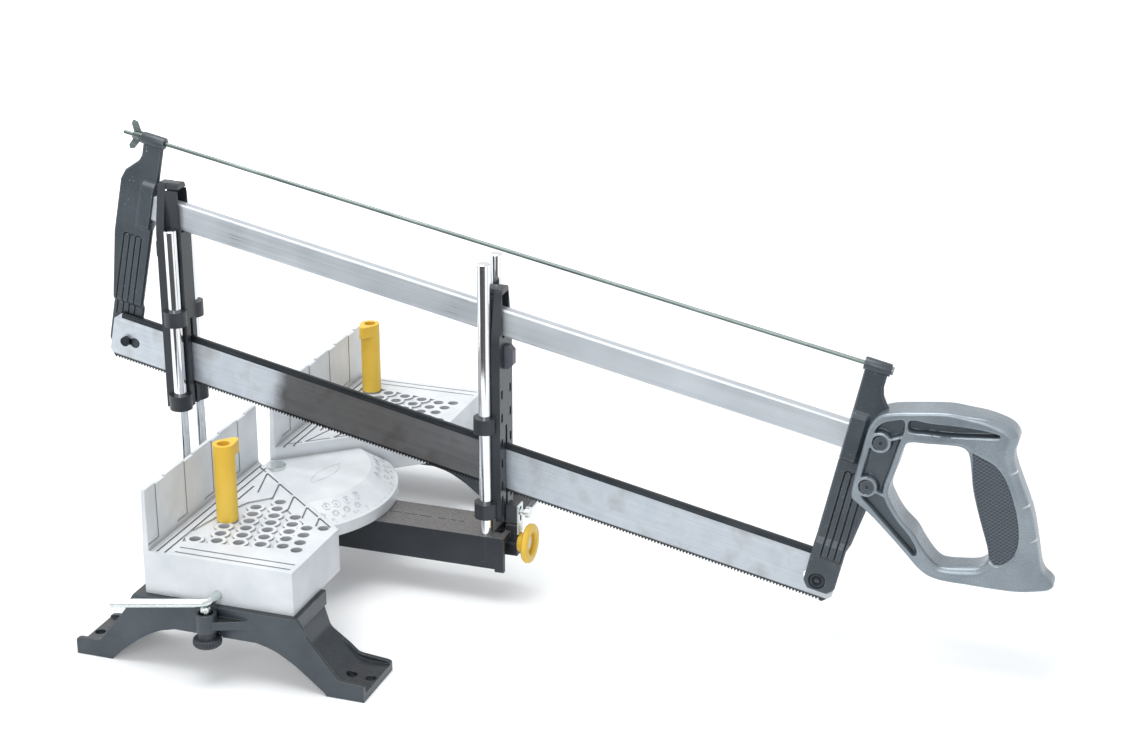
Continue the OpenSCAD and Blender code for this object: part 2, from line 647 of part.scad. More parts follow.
module swivel_arm() {
    color([0.25, 0.28, 0.3]) difference() {
        union() {
            difference() {
                block([-arm_half, -arm_front, arm_low], [arm_half, arm_back, arm_z]);
                block([-arm_half + arm_wall_t, -arm_front - arm_wall_t, arm_low - arm_wall_t],
                    [arm_half - arm_wall_t, arm_back - arm_wall_t, arm_z - arm_top_t]);
            }
            for (x = [-post_half, post_half]) for (y = [-front_post_y, rear_post_y])
                rod_z(post_low, arm_z, x, y, post_d * 1.5);
            rod_z(arm_hub_low, arm_z, 0, pivot_y, hub_d);
            block([-arm_half / 4, -bracket_front, shaft_z - shaft_d],
                [arm_half / 4, -arm_front + post_d, arm_z - arm_top_t / 2]);
            block([-arm_half / 4, -bracket_front, shaft_z - shaft_d],
                [arm_half / 4, -bracket_back, arm_z + arm_top_t]);
            for (s = [0, 1]) mirror([s, 0, 0]) block([arm_half - arm_wall_t, -arm_front,
                arm_low - arm_wall_t * 0.6],
                [arm_half, -arm_front + arm_wall_t * 2, arm_low]);
        }
        for (x = [-post_half, post_half]) for (y = [-front_post_y, rear_post_y]) {
            rod_z(post_low + post_d * 0.3, arm_z * 2, x, y, post_d);
            rod_z(arm_low, arm_z, x, y, post_d / 2);
            rod_z(arm_low - arm_h, post_low, x, y, post_screw_d + gap * 2);
        }
        rod_z(0, arm_z * 2, 0, pivot_y, pivot_d + fit * 2);
        rod_y(-arm_front * 2, -arm_front + post_d * 2, 0, shaft_z, shaft_d + fit * 2);
        block([-shoe_w / 2 - gap, shoe_front - gap * 2, arm_z - arm_top_t * 2],
            [shoe_w / 2 + gap, shoe_front + shoe_l + shoe_travel + gap, arm_z * 2]);
        block([-arm_half / 2, -front_post_y - guide_out - gap, arm_z - arm_top_t * 1.2],
            [arm_half / 2, -front_post_y - plate_in + gap, arm_z * 2]);
        pointer_line();
    }
}

module post(x, y) {
    color([0.9, 0.92, 0.94]) difference() {
        union() {
            rod_z(post_low + post_d * 0.3, post_top - post_d * 0.06, x, y, post_d);
            translate([x, y, post_top - post_d * 0.06])
                cylinder(d1 = post_d, d2 = post_d * 0.88, h = post_d * 0.06);
        }
        rod_z(0, post_low + post_d * 1.5, x, y, post_d / 2);
    }
}

module front_left_post() {
    post(-post_half, -front_post_y);
}

module front_right_post() {
    post(post_half, -front_post_y);
}

module rear_left_post() {
    post(-post_half, rear_post_y);
}

module rear_right_post() {
    post(post_half, rear_post_y);
}

module post_screws() {
    color([0.3, 0.3, 0.32]) for (x = [-post_half, post_half]) for (y = [-front_post_y, rear_post_y]) {
        rod_z(post_low - post_d / 4, post_low + post_d * 1.5, x, y, post_d / 2);
        rod_z(post_low - post_d / 4, post_low, x, y, post_screw_d);
    }
}

// The hand wheel, turned about Y: a hub, a flare and a hollow rim
module lock_wheel() {
    r = wheel_d / 2;
    color([0.93, 0.76, 0.22]) translate([0, -wheel_y - gap, shaft_z]) rotate([90, 0, 0])
        rotate_extrude() polygon([
        [shaft_d / 2 + fit, 0], [r * 0.48, 0], [r * 0.5, r * 0.26], [r * 0.93, r * 0.36], [r, r * 0.44],
        [r, r * 0.62],
        [r * 0.93, r * 0.7], [r * 0.64, r * 0.7], [r * 0.56, r * 0.6], [r * 0.56, r * 0.44],
        [shaft_d / 2 + fit, r * 0.44]
    ]);
}

module lock_shaft() {
    color([0.8, 0.82, 0.84]) {
        rod_y(-wheel_y - gap - wheel_d * 0.26, -arm_front + post_d * 2, 0, shaft_z, shaft_d);
        rod_y(-arm_front + post_d * 2, shoe_front + shoe_l * 0.8, 0, shaft_z, shaft_d * 0.7);
    }
}

module clamp_shoe() {
    color([0.45, 0.46, 0.48]) difference() {
        block([-shoe_w / 2, shoe_front, shaft_z - shoe_w / 2],
            [shoe_w / 2, shoe_front + shoe_l, bed_z + skirt_h * 0.14]);
        rod_y(-arm_front, arm_front, 0, shaft_z, shaft_d * 0.7 + fit * 2);
    }
}

module stop_strip() {
    color([0.85, 0.87, 0.88]) difference() {
        block([-arm_half / 4, -bracket_front - strip_t, strip_low_z],
            [arm_half / 4, -bracket_front, strip_top_z]);
        block([-shaft_d * 0.17, -arm_front * 2, arm_z + arm_top_t * 1.5],
            [shaft_d * 0.17, 0, strip_top_z - strip_t * 1.5]);
    }
}

module stop_block() {
    color([0.3, 0.32, 0.34]) difference() {
        block([-arm_half / 4, -bracket_front, arm_z + arm_top_t + gap * 6],
            [arm_half / 4, -bracket_back - gap, strip_top_z]);
        rod_y(-arm_front * 2, -bracket_back - arm_wall_t, 0, block_z, shaft_d * 0.34);
    }
}

module stop_thumb_screw() {
    head_y = bracket_front + strip_t + gap + wheel_d * 0.14;
    color([0.85, 0.87, 0.88]) {
        rod_y(-head_y, -bracket_back - arm_wall_t, 0, block_z, shaft_d * 0.34 - fit * 2);
        rod_y(-bracket_front - strip_t - gap * 2.5, -bracket_front - strip_t - gap, 0, block_z,
            shaft_d * 0.6);
        rod_y(-head_y - wheel_d * 0.1, -head_y, 0, block_z, shaft_d * 0.85);
    }
}

// Outline of a guide's plate: sides w apart to a shoulder, then drawn in to a rounded top t wide
function hood_points(w, shoulder, t) = let (side = eased([[w, 0], [w, shoulder - plate_t * 2],
        [w, shoulder], [core_half * 0.95, guide_h - plate_t * 1.2], [t, guide_h], [0, guide_h]], 0.4))
    concat(side, [for (i = [len(side) - 2:-1:0]) [-side[i][0], side[i][1]]]);

// A guide in its own frame: post pair on y = 0, outer side towards -Y, lower collars from z = 0
module guide() {
    top = guide_h;
    l = guide_out * 2;
    difference() {
        union() {
            prism_y(-guide_out, post_r)
                polygon(hood_points(core_half, guide_h - plate_t * 2.4, core_half * 0.62));
            block([-core_half, 0, 0], [core_half, guide_in, sill_h]);
            prism_y(-guide_out, -plate_in) polygon(hood_points(plate_half, sill_h, core_half * 0.8));
            for (x = [-post_half, post_half]) for (z = [0, collar_pitch])
                rod_z(z, z + collar_h, x, 0, collar_d);
            block([-core_half * 0.8, -guide_out, -collar_h * 0.55],
                [core_half * 0.8, -guide_out + plate_t, 0]);
        }
        for (x = [-post_half, post_half]) rod_z(-top, top * 2, x, 0, post_d + fit * 2);
        prism_x(-window_half, window_half) polygon([[guide_mid - l, sill_h - l * sill_fall],
            [guide_mid, sill_h],
            [guide_mid + l, sill_h - l * sill_fall], [guide_mid + l, sill_h + bar_tall + guide_over * 0.7],
            [guide_mid - l, sill_h + bar_tall + guide_over * 0.7]]);
        rod_x(-window_half, window_half, guide_mid, sill_h, (shoe_r + fit) * 2);
        block([-slot_w / 2, -guide_out * 2, -top], [slot_w / 2, guide_in * 2,
            collar_pitch + collar_h * 0.2]);
        for (s = [-1, 1]) {
            block([s > 0 ? core_half * 0.72 : -core_half * 2, -plate_in, collar_h],
                [s > 0 ? core_half * 2 : -core_half * 0.72, guide_in - plate_t / 2, sill_h - shoe_r * 1.3]);
            for (p = pocket_shares) translate([s * plate_half * 0.66, -guide_out, p * sill_h])
                cube([plate_half * 0.24, plate_t, plate_half * 0.5], center = true);
        }
        block([-catch_w / 2 - gap, -guide_out * 2, catch_low - gap],
            [catch_w / 2 + gap, -guide_out + catch_w, catch_low + catch_h + gap]);
    }
    for (x = [-post_half, post_half]) for (z = [0, collar_pitch]) difference() {
        rod_z(z, z + collar_h, x, 0, collar_d);
        rod_z(-top, top * 2, x, 0, post_d + fit * 2);
    }
}

// An outline in X and Z drawn out along Y from y0 to y1
module prism_y(y0, y1) {
    translate([0, y1, 0]) rotate([90, 0, 0]) linear_extrude(y1 - y0) children();
}

// The catch button in the guide's outer plate
module guide_catch() {
    w = catch_w / 2;
    translate([0, -guide_out - plate_t, catch_low]) prism_x(-w, w) polygon([
        [0, w], [plate_t / 2, 0], [plate_t * 1.3, 0], [plate_t * 1.3, catch_h], [plate_t / 2, catch_h],
        [0, catch_h - w]
    ]);
}

// The rocker shoe: a half round block on which the bar rests, it tilts with the bar
module rocker_shoe() {
    difference() {
        rod_x(-shoe_half, shoe_half, 0, 0, shoe_r * 2);
        block([-shoe_half * 2, -shoe_r * 2, -gap], [shoe_half * 2, shoe_r * 2, shoe_r * 2]);
    }
}

module at_front_guide() {
    translate([0, -front_post_y, guide_z]) children();
}

module at_rear_guide() {
    translate([0, rear_post_y, guide_z + rear_rise]) rotate([0, 0, 180]) children();
}

module front_guide() {
    color([0.2, 0.22, 0.24]) at_front_guide() guide();
}

module rear_guide() {
    color([0.2, 0.22, 0.24]) at_rear_guide() guide();
}

module front_guide_catch() {
    color([0.38, 0.38, 0.42]) at_front_guide() guide_catch();
}

module rear_guide_catch() {
    color([0.38, 0.38, 0.42]) at_rear_guide() guide_catch();
}

module front_rocker_shoe() {
    color([0.85, 0.85, 0.82]) translate([0, front_axis_y, axis_z]) rotate([saw_tilt, 0, 0]) rocker_shoe();
}

module rear_rocker_shoe() {
    color([0.85, 0.85, 0.82]) translate([0, rear_axis_y, axis_z + rear_rise])
        rotate([saw_tilt, 0, 0]) rocker_shoe();
}

// The saw's own frame: outlines are drawn with a along the blade and h above the studs
module in_saw() {
    translate([0, pin_y, pin_z]) rotate([saw_tilt, 0, 0]) children();
}

module side(x0, x1) {
    mirror([0, 1, 0]) prism_x(x0, x1) children();
}

// The front end arm is the rear one turned round
module at_front_end() {
    translate([0, -pin_span, 0]) rotate([0, 0, 180]) children();
}

module keyhole() {
    rod_x(-blade_t * 4, blade_t * 4, 0, 0, stud_d);
    rod_x(-blade_t * 4, blade_t * 4, -keyhole_d * 0.85, 0, keyhole_d);
    block([-blade_t * 4, -keyhole_d * 0.85, -stud_d / 2], [blade_t * 4, 0, stud_d / 2]);
}

module saw_blade() {
    c = blade_over * 0.45;
    color([0.68, 0.68, 0.66]) in_saw() difference() {
        side(-blade_t / 2, blade_t / 2) polygon([
            [-blade_over, -blade_low + c], [-blade_over + c, -blade_low],
            [pin_span + blade_over - c, -blade_low],
            [pin_span + blade_over, -blade_low + c], [pin_span + blade_over, blade_up - c],
            [pin_span + blade_over - c, blade_up], [-blade_over + c, blade_up], [-blade_over, blade_up - c]
        ]);
        keyhole();
        at_front_end() keyhole();
    }
}

module blade_back_strip() {
    s = blade_over * 0.5;
    color([0.16, 0.17, 0.19]) in_saw() difference() {
        side(-blade_t, blade_t)
            polygon([[-s, strip_low], [pin_span + s, strip_low], [pin_span + s, strip_top],
                [-s, strip_top]]);
        side(-blade_t / 2, blade_t / 2)
            polygon([[-pin_span, 0], [pin_span * 2, 0], [pin_span * 2, blade_up], [-pin_span, blade_up]]);
    }
}

// A stud through an end arm, its head on the blade
module blade_stud() {
    rod_x(-blade_t / 2, lower_x1, 0, 0, stud_d);
    rod_x(-blade_t * 3.2, -blade_t / 2, 0, 0, stud_d * 1.45);
}

module rear_blade_stud() {
    color([0.3, 0.3, 0.32]) in_saw() blade_stud();
}

module front_blade_stud() {
    color([0.3, 0.3, 0.32]) in_saw() at_front_end() blade_stud();
}

// An end arm: folded sheet with a socket for the bar, a jog beside the blade and a roll round the rod
module end_arm(rise, toe) {
    pts = [for (s = end_arm_shares) [-s[0] * rod_h - (s[0] > 0.03 && s[1] < 0.25 ? toe : 0),
        s[1] * rod_h + (s[1] > 0.85 ? rise : 0)]];
    jog_low = rod_h * 0.175;
    jog_top = rod_h * 0.205;
    bulge = bar_w / 2 + sock_t;
    far = rod_h;
    difference() {
        union() {
            intersection() {
                side(-far, far) polygon(pts);
                prism_y(-far, far) polygon([
                    [-arm_t / 2, rod_h * 1.2], [-arm_t / 2, jog_top], [lower_x0, jog_low],
                    [lower_x0, -blade_low],
                    [lower_x1, -blade_low], [lower_x1, jog_low], [arm_t / 2, jog_top],
                    [arm_t / 2, rod_h * 1.2]
                ]);
            }
            prism_y(-inner_u, sock_u) polygon([
                [-arm_t / 2, bar_h - sock_t * 5], [-bulge, bar_h - sock_t * 2.5],
                [-bulge, bar_h + bar_tall + sock_t * 2],
                [-arm_t / 2, bar_h + bar_tall + sock_t * 4.5], [arm_t / 2, bar_h + bar_tall + sock_t * 4.5],
                [bulge, bar_h + bar_tall + sock_t * 2], [bulge, bar_h - sock_t * 2.5],
                [arm_t / 2, bar_h - sock_t * 5]
            ]);
            rod_y(-inner_u - roll_d * 0.15, roll_end, 0, rod_h + rise, roll_d);
        }
        rod_y(-far, far, 0, rod_h + rise, rod_d + gap);
        side(-bar_w / 2, bar_w / 2)
            polygon([[-sock_u, bar_h], [far, bar_h], [far, bar_h + bar_tall], [-sock_u, bar_h + bar_tall]]);
        rod_x(-far, far, 0, 0, stud_d);
        for (g = groove_shares) for (x = [-arm_t / 2, arm_t / 2])
            block([x - sock_t * 0.3, rod_h * g, jog_top], [x + sock_t * 0.3, rod_h * g + sock_t * 0.5,
                rod_h * 0.54]);
    }
}

module rear_end_arm() {
    color([0.27, 0.3, 0.33]) in_saw() end_arm(0, arm_t * 0.45);
}

module front_end_arm() {
    color([0.27, 0.3, 0.33]) in_saw() difference() {
        at_front_end() end_arm(rod_rise, 0);
        for (p = handle_points(screw_spot_shares)) rod_x(-handle_w, handle_w, -p[0], p[1], screw_d);
    }
}

// Section of the frame bar with rounded corners
module bar_section(w, h, r) {
    translate([-w / 2 + r, 0]) square([w - r * 2, h]);
    translate([-w / 2, r]) square([w, h - r * 2]);
    for (x = [-w / 2 + r, w / 2 - r]) for (y = [r, h - r]) translate([x, y]) circle(r = r);
}

module frame_bar() {
    t = bar_w * 0.17;
    color([0.83, 0.86, 0.88]) in_saw() translate([0, 0, bar_h]) prism_y(-pin_span - sock_u, sock_u)
        difference() {
        bar_section(bar_w, bar_tall, bar_w * 0.2);
        translate([-bar_w / 2 + t, t]) square([bar_w - t * 2, bar_tall - t * 2]);
    }
}

// The tension rod's own frame: along Y, rising a little towards the handle
module on_rod() {
    in_saw() translate([0, 0, rod_h]) rotate([-rod_fall, 0, 0]) children();
}

module tension_rod() {
    color([0.55, 0.58, 0.58]) on_rod() {
        rod_y(-pin_span - roll_end, nut_y + rod_d * 5, 0, 0, rod_d);
        rod_y(-pin_span - roll_end - rod_d * 0.5, -pin_span - roll_end - gap / 3, 0, 0, rod_d * 2);
    }
}

module rod_washer() {
    color([0.7, 0.73, 0.73]) on_rod() difference() {
        rod_y(roll_end + gap / 3, nut_y, 0, 0, rod_d * 2.6);
        rod_y(-rod_h, rod_h, 0, 0, rod_d);
    }
}

module wing_nut() {
    body = rod_d * 2.1;
    color([0.72, 0.75, 0.74]) on_rod() translate([0, nut_y + gap / 3, 0]) difference() {
        union() {
            rotate([-90, 0, 0]) cylinder(d1 = rod_d * 2.9, d2 = rod_d * 2.3, h = body);
            for (s = [0, 180]) rotate([0, s, 0]) prism_x(-rod_d * 0.3, rod_d * 0.3) polygon([
                [0, rod_d * 0.5], [body * 0.9, rod_d * 0.5], [body * 1.45, rod_d * 2.9],
                [body * 1.3, rod_d * 3.9],
                [body * 0.75, rod_d * 3.6], [body * 0.1, rod_d * 1.3]
            ]);
        }
        rotate([-90, 0, 0]) translate([0, 0, -body]) cylinder(d = rod_d + fit * 2, h = body * 3);
    }
}

function handle_points(shares) = [for (s = shares) [handle_a + s[0] * handle_reach, s[1] * handle_reach]];

function unit(v) = v / norm(v);

// The outline p, run clockwise, drawn in by d
function drawn_in(p, d) = [for (i = [0:len(p) - 1])
    let (n = len(p), u = unit(p[i] - p[(i + n - 1) % n]), v = unit(p[(i + 1) % n] - p[i]))
    p[i] + d / (1 + u * v) * [u[1] + v[1], -u[0] - v[0]]];

// The handle's full body in steps: the widest part in the middle, drawn in towards its two faces
module handle_body() {
    for (s = handle_step_shares) side(-s[0] * handle_w, s[0] * handle_w) difference() {
        polygon(drawn_in(handle_points(handle_out_shares), s[1] * handle_w));
        polygon(drawn_in(handle_points(handle_in_shares), -s[1] * handle_w));
    }
}

// The handle, cast, with pockets between ribs where it is screwed to the end arm
module saw_handle() {
    w = handle_w / 2;
    rib = handle_w * 0.2;
    color([0.55, 0.58, 0.61]) in_saw() difference() {
        handle_body();
        for (s = [-1, 1]) {
            x0 = s > 0 ? w - rib : -w * 2;
            for (p = rib_pocket_shares) side(x0, x0 + w + rib) polygon(handle_points(p));
            side(x0, x0 + w + rib) polygon(handle_points(recess_shares));
        }
        difference() {
            side(-w * 2, w * 2) polygon(handle_points(insert_shares));
            side(-w + insert_t, w - insert_t) insert_core();
        }
        side(-arm_t / 2, arm_t / 2) polygon([[pin_span - rod_h, 0], [arm_slot_a, 0],
            [arm_slot_a, rod_h * 0.95],
            [pin_span - rod_h, rod_h * 0.95]]);
        for (p = handle_points(screw_spot_shares)) {
            rod_x(-handle_w, handle_w, -p[0], p[1], screw_d);
            for (s = [-1, 1]) rod_x(s > 0 ? w - rib / 2 : -w * 2, s > 0 ? w * 2 : -w + rib / 2, -p[0],
                p[1], screw_d * 1.7);
        }
    }
}

// Outline of the tongue of the grip inside the insert, the insert covers it towards the opening
module insert_core() {
    intersection() {
        polygon(handle_points(insert_shares));
        translate([insert_t, insert_t * 0.4]) polygon(handle_points(insert_shares));
    }
}

module grip_insert() {
    w = handle_w / 2;
    color([0.33, 0.36, 0.39]) in_saw() difference() {
        intersection() {
            handle_body();
            side(-w, w) polygon(handle_points(insert_shares));
        }
        side(-w + insert_t, w - insert_t) insert_core();
    }
}

module handle_screws() {
    w = handle_w / 2;
    color([0.35, 0.38, 0.41]) in_saw() for (p = handle_points(screw_spot_shares)) difference() {
        union() {
            rod_x(-w + handle_w * 0.1, w - handle_w * 0.1, -p[0], p[1], screw_d);
            rod_x(-w, -w + handle_w * 0.1, -p[0], p[1], screw_d * 1.6);
            rod_x(w - handle_w * 0.1, w, -p[0], p[1], screw_d * 1.6);
        }
        rod_x(-w - screw_d, -w + handle_w * 0.06, -p[0], p[1], screw_d * 0.5);
    }
}

bed_casting();
left_leg_frame();
right_leg_frame();
leg_screws();
pivot_bolt();
pivot_washer();
pivot_nut();
near_work_cam();
far_work_cam();
length_stop_rod();
length_stop_knob();
swivel_arm();
front_left_post();
front_right_post();
rear_left_post();
rear_right_post();
post_screws();
lock_wheel();
lock_shaft();
clamp_shoe();
stop_strip();
stop_block();
stop_thumb_screw();
front_guide();
front_guide_catch();
front_rocker_shoe();
rear_guide();
rear_guide_catch();
rear_rocker_shoe();
saw_blade();
blade_back_strip();
rear_blade_stud();
front_blade_stud();
frame_bar();
rear_end_arm();
front_end_arm();
tension_rod();
rod_washer();
wing_nut();
saw_handle();
grip_insert();
handle_screws();
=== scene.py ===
"""The looks of a miter box with its framed hand saw: a pale cast bed on two leg frames, a swivel arm with
four chrome posts, two black guides, and the saw that slides in them. Metres; X runs along the fence,
Y from the handle's end to the fence, Z up."""

import math

import bmesh
import bpy
import numpy as np
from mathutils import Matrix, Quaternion, Vector


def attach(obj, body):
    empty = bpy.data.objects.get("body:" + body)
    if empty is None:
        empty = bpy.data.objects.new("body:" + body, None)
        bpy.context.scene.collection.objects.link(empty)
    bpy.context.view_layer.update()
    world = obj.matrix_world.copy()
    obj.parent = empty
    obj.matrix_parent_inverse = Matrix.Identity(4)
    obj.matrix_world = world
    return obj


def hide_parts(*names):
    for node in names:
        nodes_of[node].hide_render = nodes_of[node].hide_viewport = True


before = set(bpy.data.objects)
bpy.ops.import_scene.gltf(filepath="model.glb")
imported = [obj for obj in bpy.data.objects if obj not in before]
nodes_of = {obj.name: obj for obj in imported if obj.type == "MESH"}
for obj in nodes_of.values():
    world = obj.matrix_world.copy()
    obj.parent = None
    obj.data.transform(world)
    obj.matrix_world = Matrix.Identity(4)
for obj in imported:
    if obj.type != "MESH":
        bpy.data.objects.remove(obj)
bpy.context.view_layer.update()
scene = bpy.context.scene

# Camera
# The photograph is taken from the left end of the bed, a little above the saw, with a medium lens.
# Its place and angle were fitted to the edges of the bed, the posts and the blade.
camera_place = Vector((-1.2808, -0.6150, 0.6832))
camera_turn = math.radians(18.447)
camera_dip = math.radians(20.636)
camera_roll = math.radians(0.211)
photo_width = 1134
focal_pixels = 2061.95

view_direction = Vector((
    math.cos(camera_dip) * math.cos(camera_turn),
    math.cos(camera_dip) * math.sin(camera_turn),
    -math.sin(camera_dip),
))
camera_data = bpy.data.cameras.new("camera")
camera_data.sensor_width = 36.0
camera_data.lens = camera_data.sensor_width * focal_pixels / photo_width
camera = bpy.data.objects.new("camera", camera_data)
camera.location = camera_place
camera.rotation_mode = "QUATERNION"
camera.rotation_quaternion = view_direction.to_track_quat("-Z", "Y") @ Quaternion((0, 0, 1), camera_roll)
scene.collection.objects.link(camera)
scene.camera = camera
scene.view_settings.view_transform = "Standard"

# Studio
# A white room: the floor is white to the camera and keeps a soft shadow, and large soft lamps light the
# bed from above and from the left. Two dark mats, which only mirrors see, lie on the floor behind the
# camera, so that the chrome shows the dark and brown streaks of a real room.
studio_level = 0.50
sky_tone = (0.87, 0.94, 1.0, 1.0)
floor_half = 6.0
floor_colour = 0.90
floor_lift, white_lift = 0.18, 0.9
shadow_reach, white_reach = 0.55, 1.6
mat_level = 0.002
mat_steps = 12


def grey(value):
    """Grey with full alpha."""
    return (value, value, value, 1.0)


def put(tree, value, socket):
    """Join a socket to another one, or give it a plain value."""
    if isinstance(value, bpy.types.NodeSocket):
        tree.links.new(value, socket)
    else:
        socket.default_value = value


def reckoned(tree, operation, *values):
    """Socket of a sum, a product or the like of plain numbers or sockets."""
    made = tree.nodes.new("ShaderNodeMath")
    made.operation = operation
    for value, socket in zip(values, made.inputs):
        put(tree, value, socket)
    return made.outputs[0]


def mapped(tree, source, low, high, to_low=0.0, to_high=1.0, kind="LINEAR"):
    """Socket that runs from to_low to to_high while the source runs from low to high, and stays at them
    beyond."""
    made = tree.nodes.new("ShaderNodeMapRange")
    made.interpolation_type = kind
    for name, value in (("From Min", low), ("From Max", high), ("To Min", to_low), ("To Max", to_high)):
        made.inputs[name].default_value = value
    tree.links.new(source, made.inputs["Value"])
    return made.outputs[0]


def seen_directly(tree):
    """Socket that is 1 for camera, glossy and transmission rays and 0 for the rest."""
    rays = tree.nodes.new("ShaderNodeLightPath")
    either = reckoned(tree, "MAXIMUM", rays.outputs["Is Camera Ray"], rays.outputs["Is Glossy Ray"])
    return reckoned(tree, "MAXIMUM", either, rays.outputs["Is Transmission Ray"])


def make_world(level):
    """World that lights at the given level and is white to camera, glossy and transmission rays."""
    world = bpy.data.worlds.new("white_room")
    world.use_nodes = True
    tree = world.node_tree
    tree.nodes.clear()
    mix = tree.nodes.new("ShaderNodeMixShader")
    tree.links.new(seen_directly(tree), mix.inputs[0])
    for tone, strength, place in ((sky_tone, level, 1), (grey(1.0), 1.0, 2)):
        light = tree.nodes.new("ShaderNodeBackground")
        light.inputs["Color"].default_value = tone
        light.inputs["Strength"].default_value = strength
        tree.links.new(light.outputs[0], mix.inputs[place])
    out = tree.nodes.new("ShaderNodeOutputWorld")
    tree.links.new(mix.outputs[0], out.inputs["Surface"])
    return world


def soft_lamp(name, place, target, size, watts):
    """Square area lamp of the given size at place, aimed at target."""
    data = bpy.data.lights.new(name, "AREA")
    data.size = size
    data.energy = watts
    lamp = bpy.data.objects.new(name, data)
    lamp.location = place
    lamp.rotation_mode = "QUATERNION"
    lamp.rotation_quaternion = (Vector(target) - Vector(place)).to_track_quat("-Z", "Y")
    scene.collection.objects.link(lamp)


def closed_up(mesh, merge, smooth, thin=0.0):
    """Merge the points of a mesh that are closer than merge, drop faces thinner than thin, turn the faces
    outwards, and keep edges sharper than smooth, in degrees, sharp."""
    work = bmesh.new()
    work.from_mesh(mesh)
    bmesh.ops.remove_doubles(work, verts=work.verts, dist=merge)
    if thin > 0.0:
        bmesh.ops.dissolve_degenerate(work, edges=work.edges, dist=thin)
    bmesh.ops.recalc_face_normals(work, faces=work.faces)
    work.to_mesh(mesh)
    work.free()
    mesh.shade_smooth()
    mesh.set_sharp_from_angle(angle=math.radians(smooth))
    return mesh


def grid_quads(rows, cols, close_u=False, close_v=False):
    """Corner numbers of the quads of a grid, one between each four neighbours. A closed direction joins
    its last row or column to its first."""
    index = np.arange(rows * cols).reshape(rows, cols)
    if close_u:
        index = np.vstack([index, index[:1]])
    if close_v:
        index = np.hstack([index, index[:, :1]])
    quads = np.stack([index[:-1, :-1], index[:-1, 1:], index[1:, 1:], index[1:, :-1]], axis=-1)
    return quads.reshape(-1, 4).tolist()


def place_piece(name, mesh):
    """Object for a mesh, linked to the scene and standing at the origin."""
    piece = bpy.data.objects.new(name, mesh)
    scene.collection.objects.link(piece)
    return piece


def surface_piece(name, points, close_u=False, close_v=False, smooth=40, **values):
    """Piece from points of shape (rows, columns, 3) in metres. Points that coincide, as at a pole, become
    one. Each named value is an array of (rows, columns) that the mesh keeps for its finish to read."""
    mesh = bpy.data.meshes.new(name)
    mesh.from_pydata(points.reshape(-1, 3).tolist(), [], grid_quads(*points.shape[:2], close_u, close_v))
    for key, value in values.items():
        kept = mesh.attributes.new(key, "FLOAT", "POINT")
        kept.data.foreach_set("value", value.reshape(-1).astype(np.float32))
    return place_piece(name, closed_up(mesh, merge=2e-6, smooth=smooth, thin=1e-7))


def new_finish(name):
    """Empty node finish: returns the material, its node tree and its main shader."""
    made = bpy.data.materials.new(name)
    made.use_nodes = True
    return made, made.node_tree, made.node_tree.nodes["Principled BSDF"]


def floor_finish(name, level, lift):
    """White matt floor. To the camera it also glows by lift, so the lit floor reaches white and keeps the
    shadow that lies on it. Further out, where no shadow falls, the glow grows to full white."""
    made, tree, shader = new_finish(name)
    shader.inputs["Base Color"].default_value = grey(level)
    shader.inputs["Roughness"].default_value = 0.9
    shader.inputs["Specular IOR Level"].default_value = 0.1
    shader.inputs["Emission Color"].default_value = grey(1.0)
    where = tree.nodes.new("ShaderNodeTexCoord")
    away = tree.nodes.new("ShaderNodeVectorMath")
    away.operation = "LENGTH"
    tree.links.new(where.outputs["Object"], away.inputs[0])
    glow = mapped(tree, away.outputs["Value"], shadow_reach, white_reach, lift, white_lift, "SMOOTHSTEP")
    seen = reckoned(tree, "MULTIPLY", seen_directly(tree), glow)
    tree.links.new(seen, shader.inputs["Emission Strength"])
    return made


def dark_mat(name, centre, near, far, first, last, colour):
    """Flat matt sheet just over the floor that is seen only in reflections: the part of a ring round
    centre between two radii in metres and two directions in degrees."""
    turn = np.radians(np.linspace(first, last, mat_steps))
    points = np.stack([
        [centre[0] + radius * np.cos(turn), centre[1] + radius * np.sin(turn), np.full(mat_steps, mat_level)]
        for radius in (near, far)]).transpose(0, 2, 1)
    mat = surface_piece(name, points)
    made, _, shader = new_finish(name)
    shader.inputs["Base Color"].default_value = (*colour, 1.0)
    shader.inputs["Roughness"].default_value = 0.9
    mat.data.materials.append(made)
    mat.visible_camera = False
    mat.visible_diffuse = False
    mat.visible_shadow = False


scene.world = make_world(studio_level)
soft_lamp("top_lamp", (-0.2, 0.1, 1.9), (0, 0, 0.1), size=1.3, watts=26)
soft_lamp("side_lamp", (-2.0, -0.2, 1.1), (0, 0, 0.12), size=1.2, watts=15)
soft_lamp("back_lamp", (0.9, 1.5, 1.3), (0, 0, 0.15), size=1.2, watts=8)
floor_corners = np.array([[-1, -1, 0], [1, -1, 0], [-1, 1, 0], [1, 1, 0]], float).reshape(2, 2, 3)
floor = surface_piece("floor", floor_corners * floor_half)
floor.data.materials.append(floor_finish("floor_white", floor_colour, floor_lift))
dark_mat("room_dark", (-0.013, -0.131), near=0.47, far=1.5, first=134, last=197, colour=(0.03, 0.033, 0.037))
dark_mat(
    "room_brown", (-0.013, 0.111), near=0.58, far=1.5, first=205, last=236, colour=(0.085, 0.066, 0.055))


def shade(red, green, blue):
    """Linear colour with full alpha from a colour written as 0 to 255."""
    coded = np.array([red, green, blue]) / 255.0
    linear = np.where(coded <= 0.04045, coded / 12.92, ((coded + 0.055) / 1.055) ** 2.4)
    return (*linear.tolist(), 1.0)


